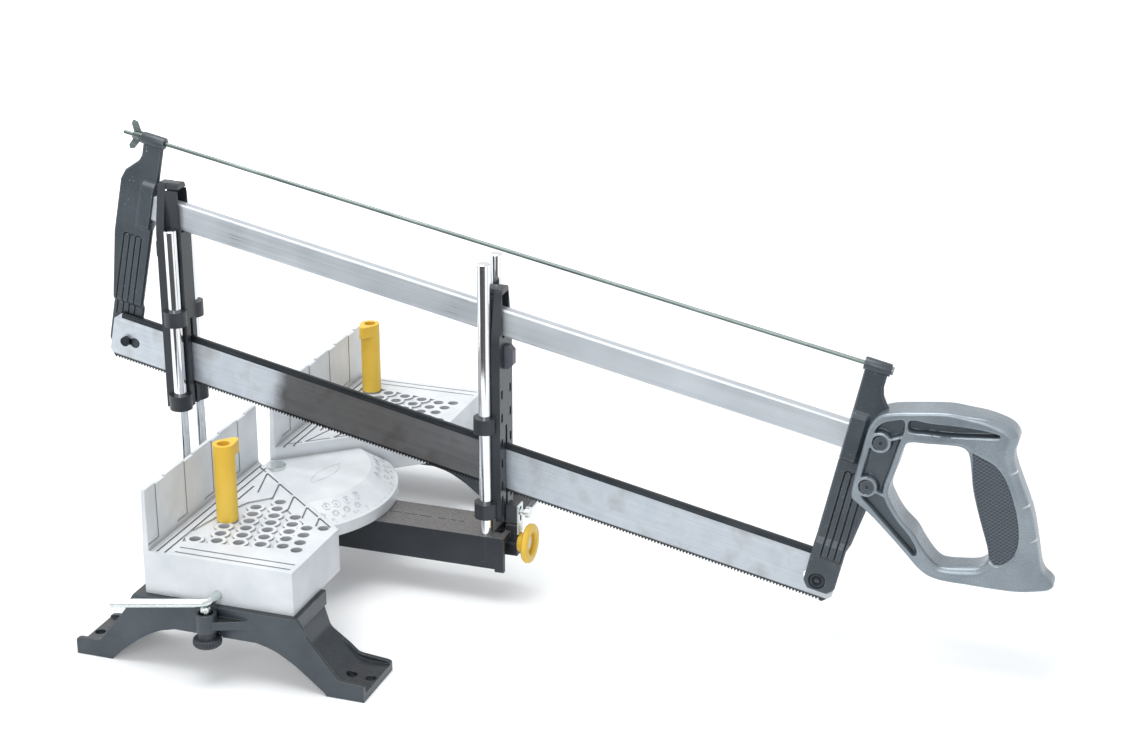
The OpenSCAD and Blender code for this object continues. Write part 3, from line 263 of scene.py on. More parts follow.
def grain(tree, scale, detail=3.0, stretch=(1.0, 1.0, 1.0), tilt=0.0):
    """Socket of noise on the piece's own coordinates with scale grains a metre, drawn out along an axis
    by a small stretch on it. The axes may first be tilted about X."""
    where = tree.nodes.new("ShaderNodeTexCoord")
    place = tree.nodes.new("ShaderNodeMapping")
    place.vector_type = "TEXTURE"
    place.inputs["Rotation"].default_value = (tilt, 0.0, 0.0)
    place.inputs["Scale"].default_value = [1 / share for share in stretch]
    noise = tree.nodes.new("ShaderNodeTexNoise")
    noise.inputs["Scale"].default_value = scale
    noise.inputs["Detail"].default_value = detail
    tree.links.new(where.outputs["Object"], place.inputs["Vector"])
    tree.links.new(place.outputs[0], noise.inputs["Vector"])
    return noise.outputs["Fac"]


def ramp(tree, source, stops):
    """Colour socket of a ramp over a source; stops are (place, colour)."""
    made = tree.nodes.new("ShaderNodeValToRGB")
    while len(made.color_ramp.elements) < len(stops):
        made.color_ramp.elements.new(0.5)
    for element, (where, colour) in zip(made.color_ramp.elements, stops):
        element.position = where
        element.color = colour
    tree.links.new(source, made.inputs[0])
    return made.outputs["Color"]


def blend_colours(tree, kind, amount, first, second):
    """Colour socket of two colours blended by an amount; each of the three is a plain value or a socket."""
    made = tree.nodes.new("ShaderNodeMix")
    made.data_type = "RGBA"
    made.blend_type = kind
    for value, place in ((amount, 0), (first, 6), (second, 7)):
        put(tree, value, made.inputs[place])
    return made.outputs[2]


def dot_product(tree, first, second):
    """Socket of the dot product of two directions or places."""
    made = tree.nodes.new("ShaderNodeVectorMath")
    made.operation = "DOT_PRODUCT"
    put(tree, first, made.inputs[0])
    put(tree, second, made.inputs[1])
    return made.outputs["Value"]


def rounded_normal(tree, radius):
    """Normal socket that rounds hard edges by the radius."""
    made = tree.nodes.new("ShaderNodeBevel")
    made.samples = 4
    made.inputs["Radius"].default_value = radius
    return made.outputs[0]


def rough_between(tree, shader, source, low, high):
    """Roughness that runs between low and high with the source."""
    tree.links.new(mapped(tree, source, 0.3, 0.7, low, high), shader.inputs["Roughness"])


def pitted(tree, shader, source, height, soft_edge=0.0):
    """Bump of the given height from the source; soft_edge rounds hard edges by that radius."""
    bump = tree.nodes.new("ShaderNodeBump")
    bump.inputs["Strength"].default_value = 1.0
    bump.inputs["Distance"].default_value = height
    tree.links.new(source, bump.inputs["Height"])
    if soft_edge > 0.0:
        tree.links.new(rounded_normal(tree, soft_edge), bump.inputs["Normal"])
    tree.links.new(bump.outputs[0], shader.inputs["Normal"])


def crevices(tree, colour, reach, depth):
    """Colour socket darkened by painted shade in grooves and corners, as far from a corner as reach and down
    to depth of its own brightness."""
    near = tree.nodes.new("ShaderNodeAmbientOcclusion")
    near.samples = 6
    near.only_local = True
    near.inputs["Distance"].default_value = reach
    shadow = ramp(tree, near.outputs["AO"], [(0.25, grey(depth)), (0.85, grey(1.0))])
    return blend_colours(tree, "MULTIPLY", 1.0, colour, shadow)


def cast_finish(name, dark, light, speck, rough, pit, coarse, crevice_shade, reach, metal=0.0, soft_edge=0.0):
    """Blasted or painted casting: a cloudy tone between dark and light, fine specks, painted shade in its
    corners as far as reach, a pitted surface and slightly rounded edges."""
    made, tree, shader = new_finish(name)
    tone = ramp(tree, grain(tree, 38.0, 4.0), [(0.3, dark), (0.7, light)])
    fine = grain(tree, coarse * 5.0, 2.0)
    dots = ramp(tree, fine, [(0.3, grey(1.0 - speck)), (0.5, grey(1.0)), (0.72, grey(1.0 + speck))])
    colour = blend_colours(tree, "MULTIPLY", 1.0, tone, dots)
    # Painted shade: corners and grooves are darkened by how closed in they are.
    tree.links.new(crevices(tree, colour, reach, crevice_shade), shader.inputs["Base Color"])
    shader.inputs["Metallic"].default_value = metal
    rough_between(tree, shader, fine, rough - 0.06, rough + 0.08)
    pitted(tree, shader, grain(tree, coarse, 5.0), pit, soft_edge)
    return made


def dress(material, *names):
    """Give these CAD nodes one finish."""
    for name in names:
        nodes_of[name].data.materials.clear()
        nodes_of[name].data.materials.append(material)


# The bed's grooves and corners carry painted shade.
blasted_aluminium = cast_finish(
    "blasted_aluminium", shade(212, 216, 220), shade(230, 232, 235), speck=0.07, rough=0.46, pit=0.00016,
    coarse=900.0, crevice_shade=0.3, reach=0.009, metal=0.15, soft_edge=0.0008)
dress(blasted_aluminium, "bed_casting")

# Quadrant scale
# The sloped band of the quadrant carries cast marks: the many-sided shapes with their number of sides,
# a row of petals under them, and degree ticks and figures at the rim. A bare raised outline lies on the
# flat top. All are part of the casting.
mm = 0.001
swivel_centre = np.array([0.0, 42.0])
band_top = np.array([71.6, 74.35])
band_foot = np.array([89.0, 62.4])
band_middle = 80.0
mark_root, mark_height = -0.3, 0.35
sided_shapes = (4, 5, 6, 8, 12)
shape_radius, shape_up = 3.3, 15.2
round_from, round_count = 12, 24
petal_rows = ((40.5, 5), (33.0, 6), (26.2, 8), (18.7, 6))
petal_radius, petal_wave, petal_up, petal_points = 2.1, 0.8, 8.0, 48
shape_line, petal_line, emblem_line = 0.7, 0.6, 0.8
figure_sizes = ((4.2, shape_up), (3.0, 3.3))
figure_half, figure_lift = 0.3, 0.05
tick_low, tick_high, tick_width = 0.2, 1.5, 0.5
tick_angles = range(-45, 46, 5)
emblem_corners = np.array([
    [-17.2, 4.6], [-9.5, 8.3], [-1.0, 8.6], [12.5, 6.0], [23.0, 0.4], [14.0, -3.2], [3.4, -3.8],
    [-8.5, 0.2]])
emblem_rise = 0.15


def on_band(angle, points):
    """Points on the sloped band in metres. angle turns from the middle of the arc. Each point is (across,
    up, out) in millimetres: across runs round the band, up from its foot to its top, and out off it."""
    across, up, out = points.T
    slope = (band_top - band_foot) / np.hypot(*(band_top - band_foot))
    radius = band_foot[0] + slope[0] * up + slope[1] * out
    level = band_foot[1] + slope[1] * up - slope[0] * out
    turn = np.radians(angle) + across / band_middle
    return np.stack([
        swivel_centre[0] + radius * np.sin(turn),
        swivel_centre[1] - radius * np.cos(turn),
        level,
    ], axis=-1) * mm


def ridge_ring(corners, width):
    """(vertices, faces) of a closed ridge along a loop of (across, up) points: each point is moved in and
    out along its own mean normal by half the width at the ridge's foot, and by less at its top."""
    ahead = np.roll(corners, -1, axis=0) - np.roll(corners, 1, axis=0)
    normal = np.stack([ahead[:, 1], -ahead[:, 0]], axis=1)
    normal /= np.linalg.norm(normal, axis=1, keepdims=True)
    side = np.array([1.0, 0.6, -0.6, -1.0]) * width / 2
    out = np.array([mark_root, mark_height, mark_height, mark_root])
    flat = corners[:, None, :] + normal[:, None, :] * side[None, :, None]
    ring = np.concatenate([flat, np.broadcast_to(out[None, :, None], flat.shape[:2] + (1,))], axis=2)
    return ring.reshape(-1, 3), grid_quads(len(corners), 4, close_u=True)


def tick_shape():
    """(vertices, faces) of a straight upright ridge: a box without its bottom."""
    half = tick_width / 2
    corners = [[half, tick_low], [half, tick_high], [-half, tick_high], [-half, tick_low]]
    points = np.array([[*corner, out] for out in (mark_root, mark_height) for corner in corners])
    return points, [[4, 5, 6, 7], [0, 1, 5, 4], [1, 2, 6, 5], [2, 3, 7, 6], [3, 0, 4, 7]]


def curve_shape(curve):
    """(vertices, faces) of a filled flat curve or of text, in the curve's own units."""
    holder = bpy.data.objects.new(curve.name, curve)
    scene.collection.objects.link(holder)
    flat = bpy.data.meshes.new_from_object(holder.evaluated_get(bpy.context.evaluated_depsgraph_get()))
    points = np.empty(len(flat.vertices) * 3)
    flat.vertices.foreach_get("co", points)
    faces = [list(face.vertices) for face in flat.polygons]
    bpy.data.objects.remove(holder)
    bpy.data.meshes.remove(flat)
    return points.reshape(-1, 3), faces


def figure_shape(words, size, up):
    """(vertices, faces) of some figures that stand off the band with their middle at the height up."""
    curve = bpy.data.curves.new("figures", "FONT")
    curve.body = words
    curve.size = size
    curve.extrude = figure_half
    curve.align_x = "CENTER"
    curve.align_y = "CENTER"
    curve.resolution_u = 3
    points, faces = curve_shape(curve)
    return points + [0, up, figure_lift], faces


def joined_mesh(name, shapes):
    """One mesh from a list of (vertices, faces)."""
    starts = np.cumsum([0] + [len(points) for points, faces in shapes]).tolist()
    points = np.concatenate([points for points, faces in shapes])
    faces = [
        [corner + start for corner in face]
        for start, shape in zip(starts, shapes) for face in shape[1]]
    mesh = bpy.data.meshes.new(name)
    mesh.from_pydata(points.tolist(), [], faces)
    return closed_up(mesh, merge=1e-6, smooth=35)


scale_shapes = []
for hand in (-1, 1):
    for sides in sided_shapes:
        drawn = sides if sides < round_from else round_count
        turn = np.arange(drawn) * 2 * math.pi / drawn
        corners = np.stack([np.sin(turn), np.cos(turn)], axis=1) * shape_radius + [0.0, shape_up]
        for points, faces in (
                ridge_ring(corners, shape_line), figure_shape(str(sides), *figure_sizes[0])):
            scale_shapes.append((on_band(hand * 180 / sides, points), faces))
    for angle, petals in petal_rows:
        around = np.arange(petal_points) * 2 * math.pi / petal_points
        reach = petal_radius + petal_wave * np.cos(petals * around)
        points, faces = ridge_ring(
            np.stack([reach * np.sin(around), petal_up + reach * np.cos(around)], axis=1), petal_line)
        scale_shapes.append((on_band(hand * angle, points), faces))
    for sides in sided_shapes:
        points, faces = figure_shape(f"{180 / sides:g}", *figure_sizes[1])
        scale_shapes.append((on_band(hand * 180 / sides, points), faces))
points, faces = ridge_ring(emblem_corners, emblem_line)
scale_shapes.append(((points + [0.0, 0.0, band_top[1] + emblem_rise]) * mm, faces))
points, faces = tick_shape()
scale_shapes += [(on_band(angle, points), faces) for angle in tick_angles]
scale_marks = place_piece("scale_marks", joined_mesh("scale_marks", scale_shapes))
scale_marks.data.materials.append(blasted_aluminium)
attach(scale_marks, "bed")

# Leg frames
# Two cast legs with flat feet, painted a satin charcoal and screwed to the ends of the bed. A paler tone
# along the hard edges is a painted highlight, and a dark tone on the faces that look up and in the deep
# pockets is painted shade.


def worn_edges(tree, colour, width, tone, amount):
    """Colour socket with a painted highlight: a paler tone along the hard edges, where a rounded normal
    leaves the true one.
    """
    true = tree.nodes.new("ShaderNodeNewGeometry")
    match = dot_product(tree, rounded_normal(tree, width), true.outputs["Normal"])
    return blend_colours(tree, "MIX", mapped(tree, match, 0.99, 0.86, 0.0, amount), colour, tone)


def settled(tree, colour, upward_tone, amount):
    """Colour socket with a painted tone mixed in on faces that look up, broken up by a fine grain: paler
    for a painted highlight from above, darker for painted shade.
    """
    where = tree.nodes.new("ShaderNodeTexCoord")
    split = tree.nodes.new("ShaderNodeSeparateXYZ")
    tree.links.new(where.outputs["Normal"], split.inputs[0])
    up = reckoned(tree, "MULTIPLY", split.outputs["Z"], grain(tree, 900.0, 3.0))
    return blend_colours(tree, "MIX", mapped(tree, up, 0.12, 0.6, 0.0, amount), colour, upward_tone)


def colour_of(shader):
    """Socket that feeds the shader's colour so far."""
    return shader.inputs["Base Color"].links[0].from_socket


def paint_finish(name, dark, light, upward_tone, amount, rough, pit, soft_edge, reach=0.02):
    """Satin paint on a casting, with a painted highlight along its edges and a painted tone on its upward
    faces.
    """
    made = cast_finish(name, dark, light, speck=0.16, rough=rough, pit=pit, coarse=620.0, crevice_shade=0.28,
                       reach=reach, soft_edge=soft_edge)
    tree = made.node_tree
    shader = tree.nodes["Principled BSDF"]
    # Painted highlight: a paler tone along the hard edges, as light catches them.
    colour = worn_edges(tree, colour_of(shader), 0.0008, shade(132, 141, 148), 0.55)
    # Painted light on the faces that look up, paler or darker by the tone given.
    tree.links.new(settled(tree, colour, upward_tone, amount), shader.inputs["Base Color"])
    return made


# Painted shade: the dark upward tone darkens the leg's sloped pocket faces, and the wide reach darkens the
# deep pockets.
leg_paint = paint_finish(
    "leg_paint", shade(54, 62, 69), shade(68, 77, 84), upward_tone=shade(31, 31, 32), amount=0.95, rough=0.36,
    pit=0.00018, soft_edge=0.0009, reach=0.035)
dress(leg_paint, "left_leg_frame", "right_leg_frame")

# Leg screws, pivot bolt and its washer and nut
# Plain steel fasteners: black oxide on the screws that hold the legs and the posts, and bright zinc on
# the bolt, washer and nut that join the swivel arm to the quadrant.


def steel_finish(name, dark, light, rough, pit, stretch=(1, 1, 1), tilt=0.0, metal=1.0):
    """Bare or plated metal: a tone streaked along one axis, and a roughness that follows the streaks."""
    made, tree, shader = new_finish(name)
    streak = grain(tree, 700.0, 4.0, stretch, tilt)
    cloud = grain(tree, 24.0, 3.0)
    both = reckoned(tree, "MULTIPLY_ADD", streak, 0.5, reckoned(tree, "MULTIPLY", cloud, 0.5))
    tree.links.new(ramp(tree, both, [(0.35, dark), (0.65, light)]), shader.inputs["Base Color"])
    shader.inputs["Metallic"].default_value = metal
    rough_between(tree, shader, both, rough * 0.7, rough * 1.3)
    pitted(tree, shader, streak, pit)
    return made


black_steel = steel_finish("black_steel", shade(38, 41, 45), shade(62, 66, 70), rough=0.38, pit=0.00003)
zinc_steel = steel_finish("zinc_steel", shade(196, 203, 202), shade(224, 229, 228), rough=0.22, pit=0.00002)
dress(black_steel, "leg_screws", "post_screws")
dress(zinc_steel, "pivot_bolt", "pivot_washer", "pivot_nut")

# Work cams
# Two yellow moulded pegs with an eccentric lobe on top, which stand in the table's holes and press the
# work against the fence when they are turned. The hand wheel is moulded in the same yellow.


def moulded_finish(name, dark, light, rough, pit, soft_edge):
    """Moulded plastic: nearly even colour with slow clouds, a fine leather-like pit and soft edges."""
    made, tree, shader = new_finish(name)
    tone = ramp(tree, grain(tree, 30.0, 3.0), [(0.3, dark), (0.7, light)])
    tree.links.new(tone, shader.inputs["Base Color"])
    pits = grain(tree, 380.0, 4.0)
    rough_between(tree, shader, pits, rough - 0.05, rough + 0.07)
    pitted(tree, shader, pits, pit, soft_edge)
    return made


yellow_moulding = moulded_finish(
    "yellow_moulding", shade(228, 182, 52), shade(240, 200, 78), rough=0.4, pit=0.00006, soft_edge=0.0006)
dress(yellow_moulding, "near_work_cam", "far_work_cam", "lock_wheel")

# Length stop
# A zinc plated rod, bent over at its outer end, slides in a boss of the left leg; a black ribbed knob
# under the boss clamps it with the bright end of its steel stud.
stop_level = 60.32
stop_corner = np.array([-191.2, -1.42])
stop_far_x = -103.0
stop_reach = 65.4
stop_swing = math.radians(19)
stop_radius = 3.0
stop_bend = 8.0
stop_chamfer = 0.6
bend_steps, straight_steps = 18, 7


def swept_tube(path, radius, sides=28):
    """Points of a round bar along a path of (n, 3) points: a circle of the radius in the plane square to
    the path, rows along it. The ends are closed with a small chamfer and a flat disc."""
    ahead = np.gradient(path, axis=0)
    ahead /= np.linalg.norm(ahead, axis=1, keepdims=True)
    side = np.cross(ahead, [0.0, 0.0, 1.0])
    side /= np.linalg.norm(side, axis=1, keepdims=True)
    rise = np.cross(side, ahead)
    turn = np.arange(sides) * 2 * math.pi / sides
    rim = np.cos(turn)[None, :, None] * side[:, None, :] + np.sin(turn)[None, :, None] * rise[:, None, :]
    body = path[:, None, :] + rim * radius
    body[0] += ahead[0] * stop_chamfer
    body[-1] -= ahead[-1] * stop_chamfer
    start = [path[0] + rim[0] * 0.0, path[0] + rim[0] * (radius - stop_chamfer)]
    end = [path[-1] + rim[-1] * (radius - stop_chamfer), path[-1] + rim[-1] * 0.0]
    return np.concatenate([np.array(start), body, np.array(end)])


def stop_path():
    """Line of the rod's middle: straight along the bed, an arc that touches both straight stretches, and
    straight on at the swing's angle."""
    incoming = np.array([-1.0, 0.0])
    outgoing = np.array([-math.sin(stop_swing), math.cos(stop_swing)])
    turn = math.acos(float(incoming @ outgoing))
    tangent = stop_bend * math.tan(turn / 2)
    start = stop_corner - incoming * tangent
    sweep = np.linspace(0, turn, bend_steps)
    arc = start + [0.0, stop_bend] + stop_bend * np.stack([-np.sin(sweep), -np.cos(sweep)], axis=1)
    run_in = np.linspace(stop_far_x, start[0], straight_steps + 1)[:-1]
    inner = np.stack([run_in, np.full(straight_steps, stop_corner[1])], axis=1)
    outer = stop_corner + outgoing * np.linspace(tangent, stop_reach, straight_steps + 1)[1:, None]
    flat = np.concatenate([inner, arc, outer])
    return np.concatenate([flat, np.full((len(flat), 1), stop_level)], axis=1)


stop_piece = surface_piece("length_stop", swept_tube(stop_path(), stop_radius) * mm, close_v=True)
stop_piece.data.materials.append(zinc_steel)
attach(stop_piece, "stop_rod")
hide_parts("length_stop_rod")

black_moulding = moulded_finish(
    "black_moulding", shade(40, 44, 49), shade(54, 59, 65), rough=0.4, pit=0.00008, soft_edge=0.0006)
knob_axis = np.array([-189.3, 2.36])
knob_profile = np.array([
    [0.0, 27.6], [7.6, 27.6], [8.6, 28.0], [9.6, 28.8], [9.85, 29.6], [9.85, 31.6], [9.6, 32.6],
    [8.6, 33.4], [7.0, 33.7], [6.2, 34.0], [6.2, 38.3], [5.6, 38.5], [3.6, 38.6], [0.0, 38.6]])
stud_profile = np.array([
    [0.0, 38.2], [3.2, 38.2], [3.5, 38.8], [3.5, 53.6], [3.45, 54.6], [3.1, 55.7], [2.2, 56.5],
    [1.0, 56.8], [0.0, 56.8]])


def ribbed_turning(profile, ribs, depth, rib_low, rib_high, sides):
    """Points of a profile of (radius, level) turned about the knob's axis. Between two levels the radius
    drops by the depth in a rounded wave, once for each rib."""
    turn = np.arange(sides) * 2 * math.pi / sides
    wave = 0.5 - 0.5 * np.cos(ribs * turn)
    bare, level = profile[:, :1], profile[:, 1:]
    ribbed = ((level > rib_low) & (level < rib_high) & (bare > 1.0)).astype(float)
    radius = bare - depth * ribbed * wave[None, :]
    return np.stack([
        knob_axis[0] + radius * np.cos(turn),
        knob_axis[1] + radius * np.sin(turn),
        np.broadcast_to(level, radius.shape),
    ], axis=-1) * mm


knob_points = ribbed_turning(knob_profile, ribs=30, depth=0.7, rib_low=28.5, rib_high=33.0, sides=240)
knob_piece = surface_piece("stop_knob", knob_points, close_v=True)
knob_piece.data.materials.append(black_moulding)
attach(knob_piece, "stop_knob")
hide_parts("length_stop_knob")
stud_points = ribbed_turning(stud_profile, ribs=6, depth=0.35, rib_low=54.0, rib_high=56.7, sides=96)
stud_piece = surface_piece("stop_stud", stud_points, close_v=True)
stud_piece.data.materials.append(zinc_steel)
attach(stud_piece, "stop_knob")
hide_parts("length_stop_knob")

# Swivel arm
# A long charcoal casting that turns on the pivot under the quadrant. Its top is rough and has a cut
# pointer line, and a paler tone on it is a painted highlight of the light from above; the sides are smooth
# paint. Its edges carry a painted highlight, and its grooves and corners painted shade.
# Painted highlight: the pale upward tone lightens the arm's top as the light from above falls on it.
arm_paint = paint_finish(
    "arm_paint", shade(24, 29, 36), shade(36, 42, 49), upward_tone=shade(116, 112, 109), amount=0.85, rough=0.38,
    pit=0.00022, soft_edge=0.0008)
dress(arm_paint, "swivel_arm")

# Posts
# Four round steel posts in two pairs, which stand in the arm and are held by a screw each. They are
# chrome plated, and fine upright polishing lines show in the plating.
chrome = steel_finish(
    "chrome", shade(222, 224, 227), shade(240, 241, 243), rough=0.07, pit=0.000002, stretch=(1, 1, 0.02))
dress(chrome, "front_left_post", "front_right_post", "rear_left_post", "rear_right_post")

# Lock and depth stop on the arm's end
# The yellow hand wheel turns a zinc plated shaft that presses a dark shoe on the quadrant's rim. Above it
# a black block with a thumb screw slides on a bright strip and sets how deep the saw may go.
dress(zinc_steel, "lock_shaft", "stop_strip", "stop_thumb_screw")
dress(black_steel, "clamp_shoe")
dress(black_moulding, "stop_block")

# Blade guides
# Black moulded guides with two rings each, which slide on the posts. A grey catch sits on each guide, and
# pale rockers inside carry the saw's bar.
guide_moulding = moulded_finish(
    "guide_moulding", shade(33, 38, 43), shade(46, 51, 57), rough=0.34, pit=0.00009, soft_edge=0.0007)
catch_moulding = moulded_finish(
    "catch_moulding", shade(76, 77, 86), shade(92, 93, 102), rough=0.42, pit=0.00006, soft_edge=0.0005)
rocker_moulding = moulded_finish(
    "rocker_moulding", shade(206, 204, 196), shade(222, 220, 214), rough=0.4, pit=0.00004, soft_edge=0.0004)
dress(guide_moulding, "front_guide", "rear_guide")
dress(catch_moulding, "front_guide_catch", "rear_guide_catch")
dress(rocker_moulding, "front_rocker_shoe", "rear_rocker_shoe")

# Saw blade
# A steel blade with ground teeth, mottled and brushed along its length. Its tone along the blade is a
# painted reflection: pale and bright at both ends, darker and browner in the middle. The teeth and the
# stiffening strip along its back are darker.
pin_y, pin_z = 160.912, 162.267
pin_span = 545.0
saw_tilt = math.radians(12)
pin_height = pin_z * math.cos(saw_tilt) - pin_y * math.sin(saw_tilt)
tone_south, tone_north = -0.36, 0.24
tone_drift = 0.05
# Painted reflection along the blade: pale at both ends and dark in the middle.
painted_reflection_stops = [
    (0.0, shade(196, 202, 208)), (0.22, shade(194, 201, 208)), (0.395, shade(200, 207, 214)),
    (0.425, shade(126, 127, 129)), (0.56, shade(108, 107, 107)), (0.695, shade(116, 117, 118)),
    (0.712, shade(204, 211, 218)), (1.0, shade(214, 221, 228))]
stain_tones = [(0.28, shade(206, 198, 190)), (0.5, grey(1.0)), (0.74, shade(228, 231, 236))]
blade_over = 12.5
blade_low, blade_up = -16.0, 20.4
blade_corner = blade_over * 0.45
blade_half = 0.6
tooth_pitch = 2.4
tooth_depth = 1.9
ground_full, ground_end = -13.4, -12.6
slot_half = 2.52
slot_end = 4.02
slot_step = 1.7


def on_saw(along, height, side):
    """Points in metres from the saw's own sizes in millimetres: along the blade from the rear pin, height
    square to the blade's edge, and side to the right of the fence."""
    along, height, side = np.broadcast_arrays(along, height, side)
    return np.stack([
        side,
        pin_y - along * math.cos(saw_tilt) - height * math.sin(saw_tilt),
        pin_z - along * math.sin(saw_tilt) + height * math.cos(saw_tilt),
    ], axis=-1) * mm


def blade_finish(name):
    """Brushed steel whose tone changes along the blade as a painted reflection, with stains, fine lines and
    darker ground teeth.
    """
    made, tree, shader = new_finish(name)
    where = tree.nodes.new("ShaderNodeTexCoord").outputs["Object"]
    split = tree.nodes.new("ShaderNodeSeparateXYZ")
    tree.links.new(where, split.inputs[0])
    cloud = grain(tree, 14.0, 5.0, (1, 1, 1.6))
    drift = reckoned(tree, "MULTIPLY_ADD", cloud, tone_drift, split.outputs["Y"])
    tone = ramp(tree, mapped(tree, drift, tone_south, tone_north), painted_reflection_stops)
    blot = ramp(tree, grain(tree, 46.0, 6.0), stain_tones)
    stained = blend_colours(tree, "MULTIPLY", 0.6, tone, blot)
    streak = grain(tree, 900.0, 3.0, (1, 0.02, 1), saw_tilt)
    lines = ramp(tree, streak, [(0.3, grey(0.86)), (0.7, grey(1.0))])
    brushed = blend_colours(tree, "MULTIPLY", 1.0, stained, lines)
    height = dot_product(tree, where, (0.0, -math.sin(saw_tilt), math.cos(saw_tilt)))
    ground = mapped(tree, height, (pin_height + ground_full) * mm, (pin_height + ground_end) * mm)
    teeth = ramp(tree, ground, [(0.0, grey(0.1)), (1.0, grey(1.0))])
    tree.links.new(blend_colours(tree, "MULTIPLY", 1.0, brushed, teeth), shader.inputs["Base Color"])
    shader.inputs["Metallic"].default_value = 0.75
    rough_between(tree, shader, streak, 0.32, 0.48)
    pitted(tree, shader, streak, 0.00002)
    return made


def blade_outline():
    """Outline of the blade as (along, height): cut corners, and a lower edge that zigzags between tooth
    tips on the edge and gullets one tooth deep."""
    first, last = -blade_over + blade_corner, pin_span + blade_over - blade_corner
    count = int((last - first) / tooth_pitch)
    along = first + np.arange(2 * count + 1) * tooth_pitch / 2
    height = blade_low + tooth_depth * (np.arange(2 * count + 1) % 2)
    return np.concatenate([
        [[-blade_over, blade_up - blade_corner], [-blade_over, blade_low + blade_corner]],
        np.stack([along, height], axis=1),
        [[last, blade_low], [pin_span + blade_over, blade_low + blade_corner],
         [pin_span + blade_over, blade_up - blade_corner], [last, blade_up], [first, blade_up]]])


def keyhole_outline(start, hand):
    """Outline of a keyhole: a half round about the stud, straight sides, and a wider round beyond."""
    meet = math.asin(slot_half / slot_end)
    small = np.linspace(math.pi / 2, 3 * math.pi / 2, 17)
    wide = np.linspace(meet - math.pi, math.pi - meet, 33)
    points = np.concatenate([
        np.stack([np.cos(small), np.sin(small)], axis=1) * slot_half,
        np.stack([np.cos(wide) + slot_step, np.sin(wide)], axis=1) * slot_end])
    return points * [hand, 1] + [start, 0]


def plate_shape(name, outlines, half):
    """(vertices, faces) of a flat plate cut to closed outlines, of which the inner ones are holes."""
    curve = bpy.data.curves.new(name, "CURVE")
    curve.dimensions = "2D"
    curve.fill_mode = "BOTH"
    curve.extrude = half
    for outline in outlines:
        spline = curve.splines.new("POLY")
        spline.points.add(len(outline) - 1)
        full = np.concatenate([outline, np.zeros((len(outline), 1)), np.ones((len(outline), 1))], axis=1)
        spline.points.foreach_set("co", full.reshape(-1))
        spline.use_cyclic_u = True
    return curve_shape(curve)


points, faces = plate_shape(
    "blade", [blade_outline(), keyhole_outline(0.0, 1), keyhole_outline(pin_span, -1)], blade_half)
blade = place_piece("blade", joined_mesh("blade", [(on_saw(*points.T), faces)]))
blade.data.materials.append(blade_finish("brushed_blade"))
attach(blade, "saw")
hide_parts("saw_blade")
back_steel = steel_finish(
    "back_steel", shade(46, 50, 54), shade(72, 76, 80), rough=0.38, pit=0.00003, stretch=(1, 0.05, 1),
    tilt=saw_tilt)
dress(back_steel, "blade_back_strip")
dress(black_steel, "rear_blade_stud", "front_blade_stud")

# Frame bar
# A drawn rectangular tube of aluminium with satin, slightly streaked faces. It slides in the guides and
# carries the saw, and its ends sit in sockets of the end arms.
drawn_aluminium = steel_finish(
    "drawn_aluminium", shade(182, 188, 193), shade(203, 208, 213), rough=0.36, pit=0.00003,
    stretch=(1, 0.008, 1), tilt=saw_tilt, metal=0.55)
dress(drawn_aluminium, "frame_bar")

# Tension rod, its washer and wing nut
# Zinc plated steel with a dull, slightly greenish grey tone. The rod pulls the tops of both end arms
# together, and the wing nut on its rear end sets how tight the blade is.
dull_zinc = steel_finish(
    "dull_zinc", shade(86, 96, 95), shade(128, 139, 137), rough=0.34, pit=0.00003, stretch=(1, 0.03, 1),
    tilt=saw_tilt)
dress(dull_zinc, "tension_rod", "rod_washer", "wing_nut")

# End arms
# Two arms pressed from thick sheet and painted charcoal with pale flecks. Each bulges round the bar's
# end, has three long grooves, jogs sideways beside the blade, and rolls over the tension rod on top.
rod_level = 160.3
arm_outline = np.array([
    [-0.058, -0.018], [-0.036, -0.045], [0.060, -0.045], [0.083, -0.020], [0.085, 0.173], [0.096, 0.204],
    [0.130, 0.520], [0.130, 0.780], [0.112, 0.830], [0.050, 0.893], [0.040, 0.920], [0.040, 1.003],
    [-0.058, 1.003]]) * rod_level
arm_stretches = (
    (25, 36, 20), (37, 80, 40), (80.4, 90, 26), (90.7, 131, 66), (132, 160.6, 36))
foot_gap, foot_top, foot_rows = 0.5, 24, 22
arm_columns = 124
least_gap = 0.02
arm_sheet = 5.0
arm_edge = 1.1
foot_thinner, foot_thin_over = 0.5, (28, 33)
arm_jog, jog_over = 3.2, (27.5, 33.5)
bar_bump = 3.7
bump_starts, bump_ends, bump_side = (91.5, 95.5), (126.0, 130.5), (1.2, 4.4)
groove_depth = 1.0
groove_half = 0.8
groove_margins = ((1.2, 2.2), (1.0, 2.0))
rib_middles = (0.1, 4.9, 9.7)
rib_half = 2.4
rib_first, rib_last = 20.0, 83.0
toe_top = 30
lean_start, lean_end = 135, 150
roll_sides = 40
roll_profile = np.array([
    [-10.4, 1.75], [-10.4, 3.9], [-10.2, 4.3], [-9.8, 4.45], [7.2, 4.45], [7.6, 4.3], [7.9, 3.9],
    [7.9, 1.75]])


def smooth_step(value, low, high):
    """0 below low, 1 above high, and a smooth rise between them."""
    t = np.clip((value - low) / (high - low), 0.0, 1.0)
    return t * t * (3 - 2 * t)


def span_at(outline, level):
    """Lowest and highest first coordinate of a closed outline at each level, where it crosses the level."""
    ahead = np.roll(outline, -1, axis=0)
    low, high = np.full(level.shape, np.inf), np.full(level.shape, -np.inf)
    for (u0, h0), (u1, h1) in zip(outline, ahead):
        if abs(h1 - h0) < 1e-9:
            continue
        t = (level - h0) / (h1 - h0)
        inside = (t >= -1e-6) & (t <= 1 + 1e-6)
        cross = u0 + t * (u1 - u0)
        low = np.where(inside, np.minimum(low, cross), low)
        high = np.where(inside, np.maximum(high, cross), high)
    return low, high


